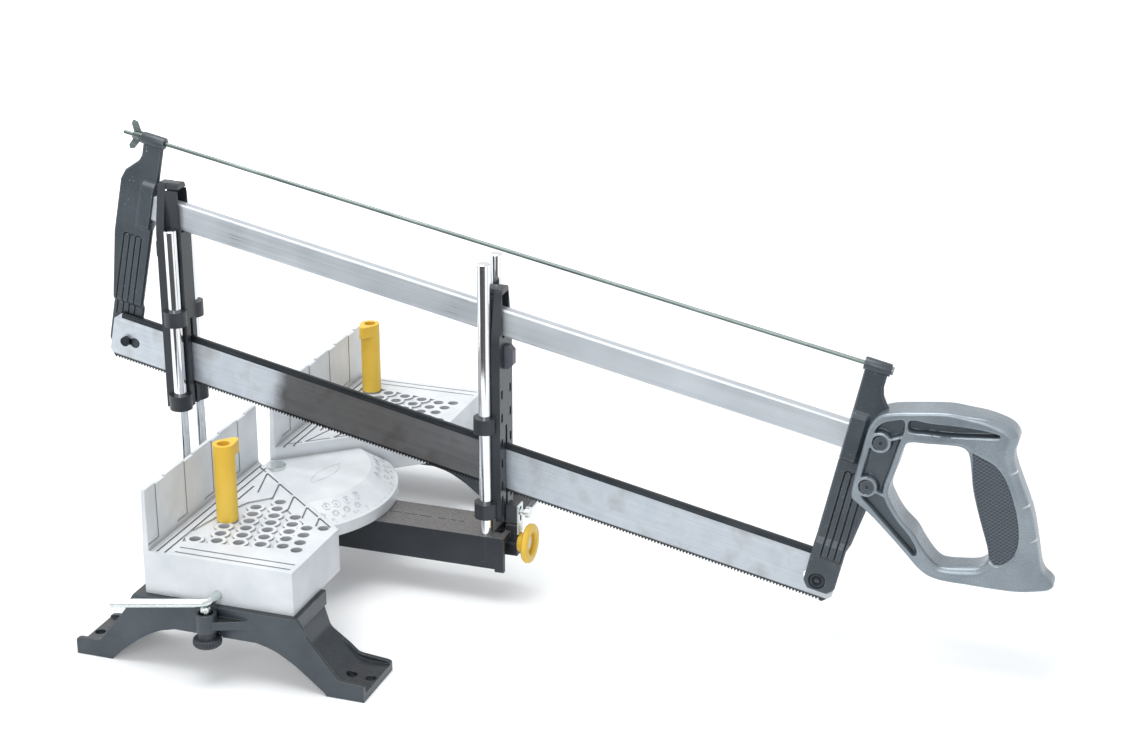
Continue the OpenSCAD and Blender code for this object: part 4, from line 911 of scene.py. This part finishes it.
def end_arm_points(toe, rise):
    """Closed skin of an end arm, as (levels, round, 3) of (outward, level, side), and how deep each point
    lies in a groove. For each level the outline gives how wide the sheet is. The mid sheet shifts sideways
    below the jog, and both faces stand out in a smooth bump round the bar. Grooves sink in by half a raised
    cosine round three long ribs with round ends. The rim is a half round of the edge size, and the first
    and last levels close to a line. The foot is wider by toe, and the top leans up by rise."""
    outline = arm_outline.copy()
    outline[(outline[:, 1] < toe_top) & (outline[:, 0] > 5), 0] += toe
    foot = outline[:, 1].min()
    levels = np.concatenate(
        [[foot + least_gap], np.linspace(foot + foot_gap, foot_top, foot_rows)]
        + [np.linspace(*part) for part in arm_stretches])
    low, high = (bound[:, None] for bound in span_at(outline, levels))
    level = levels[:, None]
    wide = np.maximum(high - low, least_gap)
    edge = np.minimum(arm_edge, wide / 3)
    u = low + edge + np.linspace(0, 1, arm_columns)[None, :] * (wide - edge * 2)
    half = arm_sheet / 2 - foot_thinner * (1 - smooth_step(level, *foot_thin_over))
    shift = arm_jog * (1 - smooth_step(level, *jog_over))
    bump = smooth_step(level, *bump_starts) * (1 - smooth_step(level, *bump_ends))
    bump = bump * (1 - smooth_step(u, *bump_side)) * bar_bump
    beyond = np.maximum(level - rib_last, 0) + np.maximum(rib_first - level, 0)
    groove = np.zeros(u.shape)
    for middle in rib_middles:
        reach = np.clip(np.abs(np.hypot(u - middle, beyond) - rib_half) / groove_half, 0, 1)
        groove = np.maximum(groove, 0.5 * (1 + np.cos(math.pi * reach)))
    inside = smooth_step(u - low, *groove_margins[0]) * smooth_step(high - u, *groove_margins[1])
    thick = half + bump - groove_depth * groove * inside
    front, back = shift + thick, shift - thick
    rim = np.linspace(0, math.pi, 7)[1:-1][None, :]
    rim_out = 1 - np.abs(np.cos(rim)) ** 3
    outer_x = shift + thick[:, -1:] * np.cos(rim)
    inner_x = shift - thick[:, :1] * np.cos(rim)
    around_u = np.concatenate([u, u[:, -1:] + edge * rim_out, u[:, ::-1], u[:, :1] - edge * rim_out], axis=1)
    around_x = np.concatenate([front, outer_x, back[:, ::-1], inner_x], axis=1)
    lean = level + (level > lean_start) * rise * smooth_step(level, lean_start, lean_end)
    points = np.stack([around_u, np.broadcast_to(lean, around_u.shape), around_x], axis=-1)
    first, last = points[:1].copy(), points[-1:].copy()
    first[..., 2] = shift[0, 0]
    last[..., 2] = 0.0
    blank = np.zeros((len(levels), rim.shape[1]))
    sunk = np.concatenate([groove, blank, groove[:, ::-1], blank], axis=1)
    return np.concatenate([first, points, last]), np.concatenate([sunk[:1], sunk, sunk[-1:]])


def roll_points(rise):
    """Roll of sheet over the rod: a ring profile of (outward, radius) with rounded ends, carried round the
    rod's line, as (profile, round, 3) of (outward, level, side)."""
    turn = np.arange(roll_sides) * 2 * math.pi / roll_sides
    out, radius = roll_profile[:, :1], roll_profile[:, 1:]
    return np.stack([
        np.broadcast_to(out, (len(roll_profile), len(turn))),
        rod_level + rise + radius * np.cos(turn),
        radius * np.sin(turn),
    ], axis=-1)


def placed_arm(points, front):
    """End arm points on the saw: the rear arm faces back from the rear pin, and the front arm is the same
    pressing turned half round at the front pin."""
    if front:
        return on_saw(pin_span + points[..., 0], points[..., 1], -points[..., 2])
    return on_saw(-points[..., 0], points[..., 1], points[..., 2])


def value_of(tree, name):
    """Socket of a number stored on the mesh."""
    made = tree.nodes.new("ShaderNodeAttribute")
    made.attribute_name = name
    return made.outputs["Fac"]


def flecked_finish(name, dark, light, fleck):
    """Charcoal paint with sparse pale flecks where the grain peaks, a painted highlight along its edges, and
    painted shade in the pressed grooves and corners."""
    made = cast_finish(
        name, dark, light, speck=0.12, rough=0.32, pit=0.0001, coarse=420.0, crevice_shade=0.45, reach=0.006)
    tree = made.node_tree
    shader = tree.nodes["Principled BSDF"]
    # Painted highlight: a paler tone along the hard edges, as light catches them.
    edge_lit = worn_edges(tree, colour_of(shader), 0.0012, shade(140, 148, 154), 0.5)
    # Painted shade: the colour is darkened by itself in the pressed grooves.
    groove_shaded = blend_colours(tree, "MULTIPLY", value_of(tree, "groove"), edge_lit, edge_lit)
    flecks = mapped(tree, grain(tree, 900.0, 1.0), 0.765, 0.80)
    tree.links.new(blend_colours(tree, "MIX", flecks, groove_shaded, fleck), shader.inputs["Base Color"])
    return made


arm_sheet_paint = flecked_finish(
    "arm_sheet_paint", shade(52, 60, 66), shade(67, 76, 83), shade(206, 212, 218))
for name, node, toe, rise, front in (
        ("rear_arm", "rear_end_arm", 2.2, 0.0, False), ("front_arm", "front_end_arm", 0.0, 3.6, True)):
    points, sunk = end_arm_points(toe, rise)
    skin = surface_piece(name, placed_arm(points, front), close_v=True, groove=sunk)
    roll = surface_piece(name + "_roll", placed_arm(roll_points(rise), front), close_u=True, close_v=True)
    for piece in (skin, roll):
        piece.data.materials.append(arm_sheet_paint)
        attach(piece, "saw")
        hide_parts(node)


stud_rings = ((0, 2.4, 13), (2.6, 6.2, 37))
stud_sides = 96
stud_stand = 5.1
middle_height, middle_edge = 0.9, (3.5, 3.9)
collar_height, collar_edge = 0.5, (4.5, 4.8)
stud_rim = (5.6, 6.2)
socket_depth, socket_edge = 1.6, (1.5, 1.75)


def stud_face_points():
    """Face of the front blade stud, as (rings, round, 3) of (outward, level, side): a round head with a
    six-sided socket in a sunk ring. The socket's depth follows the distance from a regular hexagon, and
    the ring's from the distance to the middle."""
    radius = np.concatenate([np.linspace(*part) for part in stud_rings])[:, None]
    turn = (np.arange(stud_sides) * 2 * math.pi / stud_sides)[None, :]
    sector = np.mod(turn, math.pi / 3) - math.pi / 6
    from_flat = radius * np.cos(sector)
    middle = middle_height * (1 - smooth_step(radius, *middle_edge))
    collar = collar_height * smooth_step(radius, *collar_edge) * (1 - smooth_step(radius, *stud_rim))
    socket = socket_depth * (1 - smooth_step(from_flat, *socket_edge))
    side = stud_stand + middle + collar - socket
    return np.stack([radius * np.cos(turn), radius * np.sin(turn), side], axis=-1)


front_stud = surface_piece("front_stud_face", placed_arm(stud_face_points(), True), close_v=True)
front_stud.data.materials.append(black_steel)
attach(front_stud, "saw")

# Handle
# A closed cast handle with a full rounded section, painted silver grey, with pockets cored out of its
# sides at the mount and the top. Two screws hold it to the front arm, and a rubber pad is let into the
# grip. Its outlines are (along, height) on the saw.
handle_outer = np.array([
    [552, 72], [550.4, 82], [550, 103], [550, 123.3], [551.8, 129.7], [555.4, 135.8], [562.4, 140.0],
    [574.4, 144.5], [596, 151.6], [608.5, 153.6], [620.9, 155.6], [629.5, 155.8], [636.6, 155],
    [641.5, 152.9], [645.2, 149], [645.6, 144], [645.2, 139.2], [646.6, 133.1], [654, 121.3],
    [667.8, 101.2], [675.4, 86], [680.6, 74.2], [685, 64.6], [688.7, 60.4], [694, 57.5], [696.4, 54.5],
    [694, 50.8], [688.9, 48], [677.3, 43], [665.1, 39.8], [644.2, 35.7], [627.3, 32.9], [616.5, 33.4],
    [608.2, 37], [597.1, 44.8], [580.6, 55.7], [566, 64.6], [556.4, 69.2]])
handle_inner = np.array([
    [574.4, 83.9], [575.2, 101], [576, 119.0], [578.8, 123.2], [590, 126.3], [603.1, 129.8],
    [610.6, 131.0], [615.0, 130.0], [617.8, 126.6], [620.9, 119.4], [627.6, 102.4], [639.1, 80.8],
    [646.8, 67.8], [649.6, 61.0], [649.6, 57.2], [644.9, 51.9], [633.8, 47.4], [625.4, 44.6],
    [620.4, 44.0], [614.4, 46.8], [606, 53.6], [598.7, 60.7], [587.9, 67.6], [579.2, 76.3]])
handle_eye = np.array([612.0, 90.0])
handle_half = 12.0
handle_round = 6.5
mount_round = 0.36
grip_start, grip_full = 598, 640
grip_waist = 0.3
handle_rounds = 620
fine_turns, mean_reach, turn_share = 4000, 60, 0.12
face_columns = 61
edge_crowd = 0.075
wall_columns = 7
wall_crown = 0.25
pocket_wall, pocket_lip = 1.5, 0.2
top_pocket_depth, mount_pocket_depth = 5.5, 5.0
mount_rib_in, mount_rib_out = 0.7, 1.5
boss_in, boss_out = 7.0, 8.4
seat_depth, seat_in, seat_out = 3.0, 4.7, 5.4
pad_bed_depth, pad_bed_wall = 1.0, 0.7
notch_depth, notch_in, notch_out = 0.9, 0.3, 1.2


def smooth_loop(points, per_side=14):
    """Closed smooth curve through points: a cubic between neighbours whose slopes come from the points
    on both sides."""
    before, after = np.roll(points, 1, axis=0), np.roll(points, -1, axis=0)
    step_before = np.linalg.norm(points - before, axis=1, keepdims=True)
    step_after = np.linalg.norm(after - points, axis=1, keepdims=True)
    slope = (after - before) / (step_before + step_after)
    t = np.arange(per_side) / per_side
    here, there = 2 * t**3 - 3 * t**2 + 1, -2 * t**3 + 3 * t**2
    leave, arrive = t**3 - 2 * t**2 + t, t**3 - t**2
    slope_after = np.roll(slope, -1, axis=0)
    parts = (
        (here, points), (leave, slope * step_after), (there, after), (arrive, slope_after * step_after))
    loop = sum(share[None, :, None] * value[:, None] for share, value in parts)
    return loop.reshape(-1, 2)


def by_angle(loop, angles):
    """Points of a closed loop at given angles round the eye of the handle, which sees all of it."""
    arms = loop - handle_eye
    turn = np.unwrap(np.arctan2(arms[:, 1], arms[:, 0]))
    if turn[-1] < turn[0]:
        turn, loop = turn[::-1], loop[::-1]
    turn = np.maximum.accumulate(turn)
    wrapped = turn[0] + np.mod(angles - turn[0], 2 * math.pi)
    full = np.append(turn, turn[0] + 2 * math.pi)
    loop = np.vstack([loop, loop[:1]])
    return np.stack([np.interp(wrapped, full, loop[:, 0]), np.interp(wrapped, full, loop[:, 1])], axis=1)


def far_from(points, loop):
    """Distance of each point from a closed loop of straight pieces."""
    flat = points.reshape(-1, 2)
    best = np.full(len(flat), np.inf)
    for begin, ahead in zip(loop, np.roll(loop, -1, axis=0) - loop):
        t = np.clip(((flat - begin) @ ahead) / max(ahead @ ahead, 1e-12), 0, 1)
        best = np.minimum(best, np.hypot(*(flat - begin - t[:, None] * ahead).T))
    return best.reshape(points.shape[:-1])


def inside_of(points, loop):
    """True for points inside a closed loop, by counting the sides crossed on the way out."""
    flat = points.reshape(-1, 2)
    hit = np.zeros(len(flat), bool)
    for (x0, y0), (x1, y1) in zip(loop, np.roll(loop, -1, axis=0)):
        crosses = (y0 > flat[:, 1]) != (y1 > flat[:, 1])
        at = x0 + (flat[:, 1] - y0) * (x1 - x0) / (y1 - y0 + 1e-12)
        hit ^= crosses & (flat[:, 0] < at)
    return hit.reshape(points.shape[:-1])


def pocket_depth(points, loop, depth, wall):
    """Depth of a pocket with a closed outline: full inside, easing out over the wall's width."""
    away = far_from(points, loop)
    signed = np.where(inside_of(points, loop), away, -away)
    return depth * smooth_step(signed, -wall * pocket_lip, wall)


top_pocket = smooth_loop(np.array([
    [574.6, 138.6], [576.2, 131.0], [590, 133.4], [604, 136.6], [620, 141.4], [633.4, 146.0],
    [633.2, 148.0], [621, 147.6], [606, 145.2], [589, 141.4]]), 6)
mount_pocket = smooth_loop(np.array([
    [554.6, 79.0], [554.2, 100.0], [554.2, 121.6], [555.6, 127.6], [559.2, 132.0], [564.8, 135.4],
    [570.2, 137.6], [572.4, 135.0], [573.2, 128.0], [572.6, 120.6], [571.8, 102.0], [571.2, 84.6],
    [575.8, 76.0], [586.0, 66.2], [596.6, 58.4], [604.2, 49.6], [603.6, 45.0], [597.4, 48.6],
    [581.0, 59.4], [565.6, 69.8], [557.6, 75.2]]), 5)
screw_places = np.array([[560.0, 116.7], [559.6, 83.0]])
mount_ribs = np.array([[screw_places[0], [574.5, 126.6]], [screw_places[1], [574.0, 80.4]]])
pad_outline = smooth_loop(np.array([
    [617.2, 130.1], [626, 129.4], [636.2, 126.6], [643.9, 121.0], [650.9, 112.0], [657.6, 101],
    [662.9, 89.7], [666.4, 77.0], [665.4, 67.2], [661.5, 60.6], [656.5, 57.2], [651.4, 58.0], [640, 66],
    [625, 90], [612, 122]]), 8)
grip_notches = np.array([
    [[645.0, 122.5], [651.6, 126.2]], [[659.2, 102.6], [665.6, 105.8]], [[670.6, 80.6], [677.6, 84.0]]])


def pockets_at(flat):
    """How deep each place of a face sinks in the cored pockets: round the top one and the mount's, whose
    two ribs and two screw bosses stay up, and in the seats of the screws."""
    depth = pocket_depth(flat, top_pocket, top_pocket_depth, pocket_wall)
    mount = pocket_depth(flat, mount_pocket, mount_pocket_depth, pocket_wall)
    for rib in mount_ribs:
        mount = mount * smooth_step(far_from(flat, rib), mount_rib_in, mount_rib_out)
    depth = np.maximum(depth, mount)
    for place in screw_places:
        away = np.hypot(*np.moveaxis(flat - place, -1, 0))
        seat = seat_depth * (1 - smooth_step(away, seat_in, seat_out))
        depth = np.maximum(depth * smooth_step(away, boss_in, boss_out), seat)
    return depth


def notches_at(flat):
    """How deep each place of a face sinks in the short notches of the grip, which deepen outwards."""
    notch = np.zeros(flat.shape[:2])
    for start, end in grip_notches:
        t = np.clip(((flat - start) @ (end - start)) / ((end - start) ** 2).sum(), 0, 1)
        gap = np.hypot(*np.moveaxis(flat - start - t[..., None] * (end - start), -1, 0))
        notch = np.maximum(notch, notch_depth * t * (1 - smooth_step(gap, notch_in, notch_out)))
    return notch


def handle_points():
    """Skin of the handle and, for each point, how deep it lies in a pocket and in a notch. Round the loop
    (first index) an outer and an inner outline are matched by their angle from a point in the opening.
    Across it (second index) the skin runs over the near face, round the outer edge, back over the far face
    and round the opening. A face stands at half the width, less a quarter round near the outlines, and
    sinks in the pockets. The angles are spread so that the outer outline gets even steps."""
    outer, inner = smooth_loop(handle_outer), smooth_loop(handle_inner)
    raw = outer - handle_eye
    turn = np.unwrap(np.arctan2(raw[:, 1], raw[:, 0]))
    dense = np.linspace(0, 2 * math.pi, fine_turns + 1) * np.sign(turn[-1] - turn[0])
    stride = np.hypot(*np.diff(by_angle(outer, dense), axis=0).T)
    weight = stride + turn_share * 2 * math.pi * mean_reach / fine_turns
    run = np.append(0, np.cumsum(weight))
    angles = np.interp(np.arange(handle_rounds) / handle_rounds * run[-1], run, dense)
    out_at, in_at = by_angle(outer, angles), by_angle(inner, angles)
    across = np.linspace(0, 1, face_columns)
    across = across - edge_crowd * np.sin(2 * math.pi * across)
    flat = in_at[:, None] + (out_at - in_at)[:, None] * across[None, :, None]
    rim = np.minimum(far_from(flat, outer), far_from(flat, inner))
    rim[:, 0] = rim[:, -1] = 0.0
    grip = smooth_step(flat[..., 0], grip_start, grip_full)
    round_size = handle_round * (mount_round + (1 - mount_round) * grip)
    bend = np.clip(1 - rim / round_size, 0, 1)
    depth, notch = pockets_at(flat), notches_at(flat)
    bed = pocket_depth(flat, pad_outline, pad_bed_depth, pad_bed_wall)
    side = handle_half - round_size * (1 - np.sqrt(1 - bend**2)) - grip_waist * grip - depth - bed - notch
    wall = np.linspace(1, -1, wall_columns + 2)[1:-1]
    outward = (out_at - in_at) / np.linalg.norm(out_at - in_at, axis=1, keepdims=True)
    edge_out = out_at[:, None] - outward[:, None] * wall_crown * (wall**2)[None, :, None]
    edge_in = np.broadcast_to(in_at[:, None], edge_out.shape)
    loop_at = np.concatenate([flat, edge_out, flat[:, ::-1], edge_in], axis=1)
    sides = np.concatenate([
        side, side[:, -1:] * wall[None, :], -side[:, ::-1], -side[:, :1] * wall[None, :]], axis=1)
    blank = np.zeros((handle_rounds, wall_columns))
    deep, bright = (
        np.concatenate([value, blank, value[:, ::-1], blank], axis=1) for value in (depth, notch))
    return on_saw(loop_at[..., 0], loop_at[..., 1], sides), deep, bright


def handle_finish(name):
    """Silver grey satin paint: a slight cloud, painted shade in the pockets and corners, and a painted
    highlight in the notches.
    """
    made = cast_finish(
        name, shade(126, 135, 142), shade(146, 155, 162), speck=0.06, rough=0.3, pit=0.00006, coarse=500.0,
        crevice_shade=0.5, reach=0.006, metal=0.5)
    tree = made.node_tree
    shader = tree.nodes["Principled BSDF"]
    colour = colour_of(shader)
    # The pocket tint is painted shade, and the notch tint a painted highlight.
    for value, low, high, tint in (
            ("pocket", 0.6, 4.0, shade(84, 92, 98)), ("notch", 0.2, 0.8, shade(226, 230, 234))):
        colour = blend_colours(tree, "MIX", mapped(tree, value_of(tree, value), low, high), colour, tint)
    tree.links.new(colour, shader.inputs["Base Color"])
    return made


skin, deep, bright = handle_points()
handle = surface_piece("handle", skin, close_u=True, close_v=True, smooth=60, pocket=deep, notch=bright)
handle.data.materials.append(handle_finish("handle_paint"))
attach(handle, "saw")
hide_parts("saw_handle")
dress(arm_sheet_paint, "handle_screws")

# Grip pad
# A dark rubber pad let into the finger side of the grip. It wraps round the inner edge from one face to
# the other and carries a fine net of raised diagonal lines.
pad_curve = np.array([
    [652.4, 59.2], [656.5, 58.2], [661.5, 61.4], [665.2, 68.0], [666.0, 77.0], [662.9, 89.7],
    [657.6, 101.2], [650.9, 112.0], [643.9, 120.7], [636.2, 126.4], [626.0, 129.0], [619.4, 130.0]])
pad_rows, row_step = 170, 0.5
pad_columns, pad_wall_columns = 30, 11
pad_first_gap, pad_last_gap = 0.012, 0.004
pad_stand, stand_over, end_over = 0.35, 1.0, 4
pad_lip, lip_width = 0.35, 0.5
pad_swell = 0.35
pad_root = 1.6
net_pitch = 0.0021
net_height = 0.00035


def pad_points():
    """Skin of the pad. Rows turn about the eye of the opening. In each row the skin starts sunk beside the
    pad's own edge, runs over the near face to the inner outline, round it, and back the same way on the
    far face. It stands a little proud of the handle, and its first and last rows close to a point."""
    edge = smooth_loop(pad_curve, 8)[:-8]
    arms = edge - handle_eye
    turns = np.maximum.accumulate(np.arctan2(arms[:, 1], arms[:, 0]))
    angles = np.linspace(turns[0] + pad_first_gap, turns[-1] - pad_last_gap, pad_rows)
    edge_at = np.stack([np.interp(angles, turns, edge[:, 0]), np.interp(angles, turns, edge[:, 1])], axis=1)
    inner = smooth_loop(handle_inner)
    in_at = by_angle(inner, angles)
    outward = (edge_at - in_at) / np.maximum(np.linalg.norm(edge_at - in_at, axis=1, keepdims=True), 1e-6)
    across = np.linspace(1, 0, pad_columns)
    flat = in_at[:, None] + (edge_at - in_at)[:, None] * across[None, :, None]
    rim = far_from(flat, inner)
    rim[:, -1] = 0.0
    border = np.hypot(*np.moveaxis(flat - edge_at[:, None], -1, 0))
    ends = np.minimum(np.arange(pad_rows), np.arange(pad_rows)[::-1])[:, None] * row_step
    stand = pad_stand * smooth_step(np.minimum(border, ends), 0.0, stand_over)
    bend = np.clip(1 - rim / handle_round, 0, 1)
    side = handle_half - grip_waist - handle_round * (1 - np.sqrt(1 - bend**2)) - pad_stand + stand
    side = side - pad_lip * (1 - smooth_step(border, 0.0, lip_width))
    wall = np.linspace(1, -1, pad_wall_columns + 2)[1:-1]
    swell = (pad_stand + pad_swell * (1 - wall**2)) * smooth_step(ends, 0, end_over)
    wall_at = in_at[:, None] - outward[:, None] * swell[..., None]
    sunk = side[:, :1] - pad_root
    at = np.concatenate([edge_at[:, None], flat, wall_at, flat[:, ::-1], edge_at[:, None]], axis=1)
    sides = np.concatenate([sunk, side, side[:, -1:] * wall[None, :], -side[:, ::-1], -sunk], axis=1)
    skin = on_saw(at[..., 0], at[..., 1], sides)
    first, last = (
        np.broadcast_to(row.mean(axis=1, keepdims=True), row.shape) for row in (skin[:1], skin[-1:]))
    return np.concatenate([first, skin, last])


def netted_finish(name, ground, line):
    """Rubber with a net of raised lines: two sets of bands, one leaning each way in the plane of the saw
    and a little across it, joined by their higher value. The raised lines are painted paler, a painted
    highlight."""
    made, tree, shader = new_finish(name)
    where = tree.nodes.new("ShaderNodeTexCoord")
    bands = []
    for lean in (-1, 1):
        place = tree.nodes.new("ShaderNodeMapping")
        place.inputs["Rotation"].default_value = (math.radians(lean * 33 + 10), 0.0, math.radians(24 * lean))
        wave = tree.nodes.new("ShaderNodeTexWave")
        wave.bands_direction = "Z"
        wave.wave_profile = "SIN"
        wave.inputs["Scale"].default_value = math.pi / 10 / net_pitch
        tree.links.new(where.outputs["Object"], place.inputs["Vector"])
        tree.links.new(place.outputs[0], wave.inputs["Vector"])
        bands.append(wave.outputs["Fac"])
    high = reckoned(tree, "MAXIMUM", *bands)
    # Painted highlight: the raised lines take the paler colour.
    tree.links.new(ramp(tree, high, [(0.86, ground), (0.985, line)]), shader.inputs["Base Color"])
    rough_between(tree, shader, high, 0.62, 0.5)
    pitted(tree, shader, ramp(tree, high, [(0.8, grey(0.0)), (1.0, grey(1.0))]), net_height)
    return made


pad = surface_piece("grip_pad", pad_points(), close_v=True, smooth=70)
pad.data.materials.append(netted_finish("netted_rubber", shade(56, 63, 71), shade(108, 116, 124)))
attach(pad, "saw")
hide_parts("grip_insert")
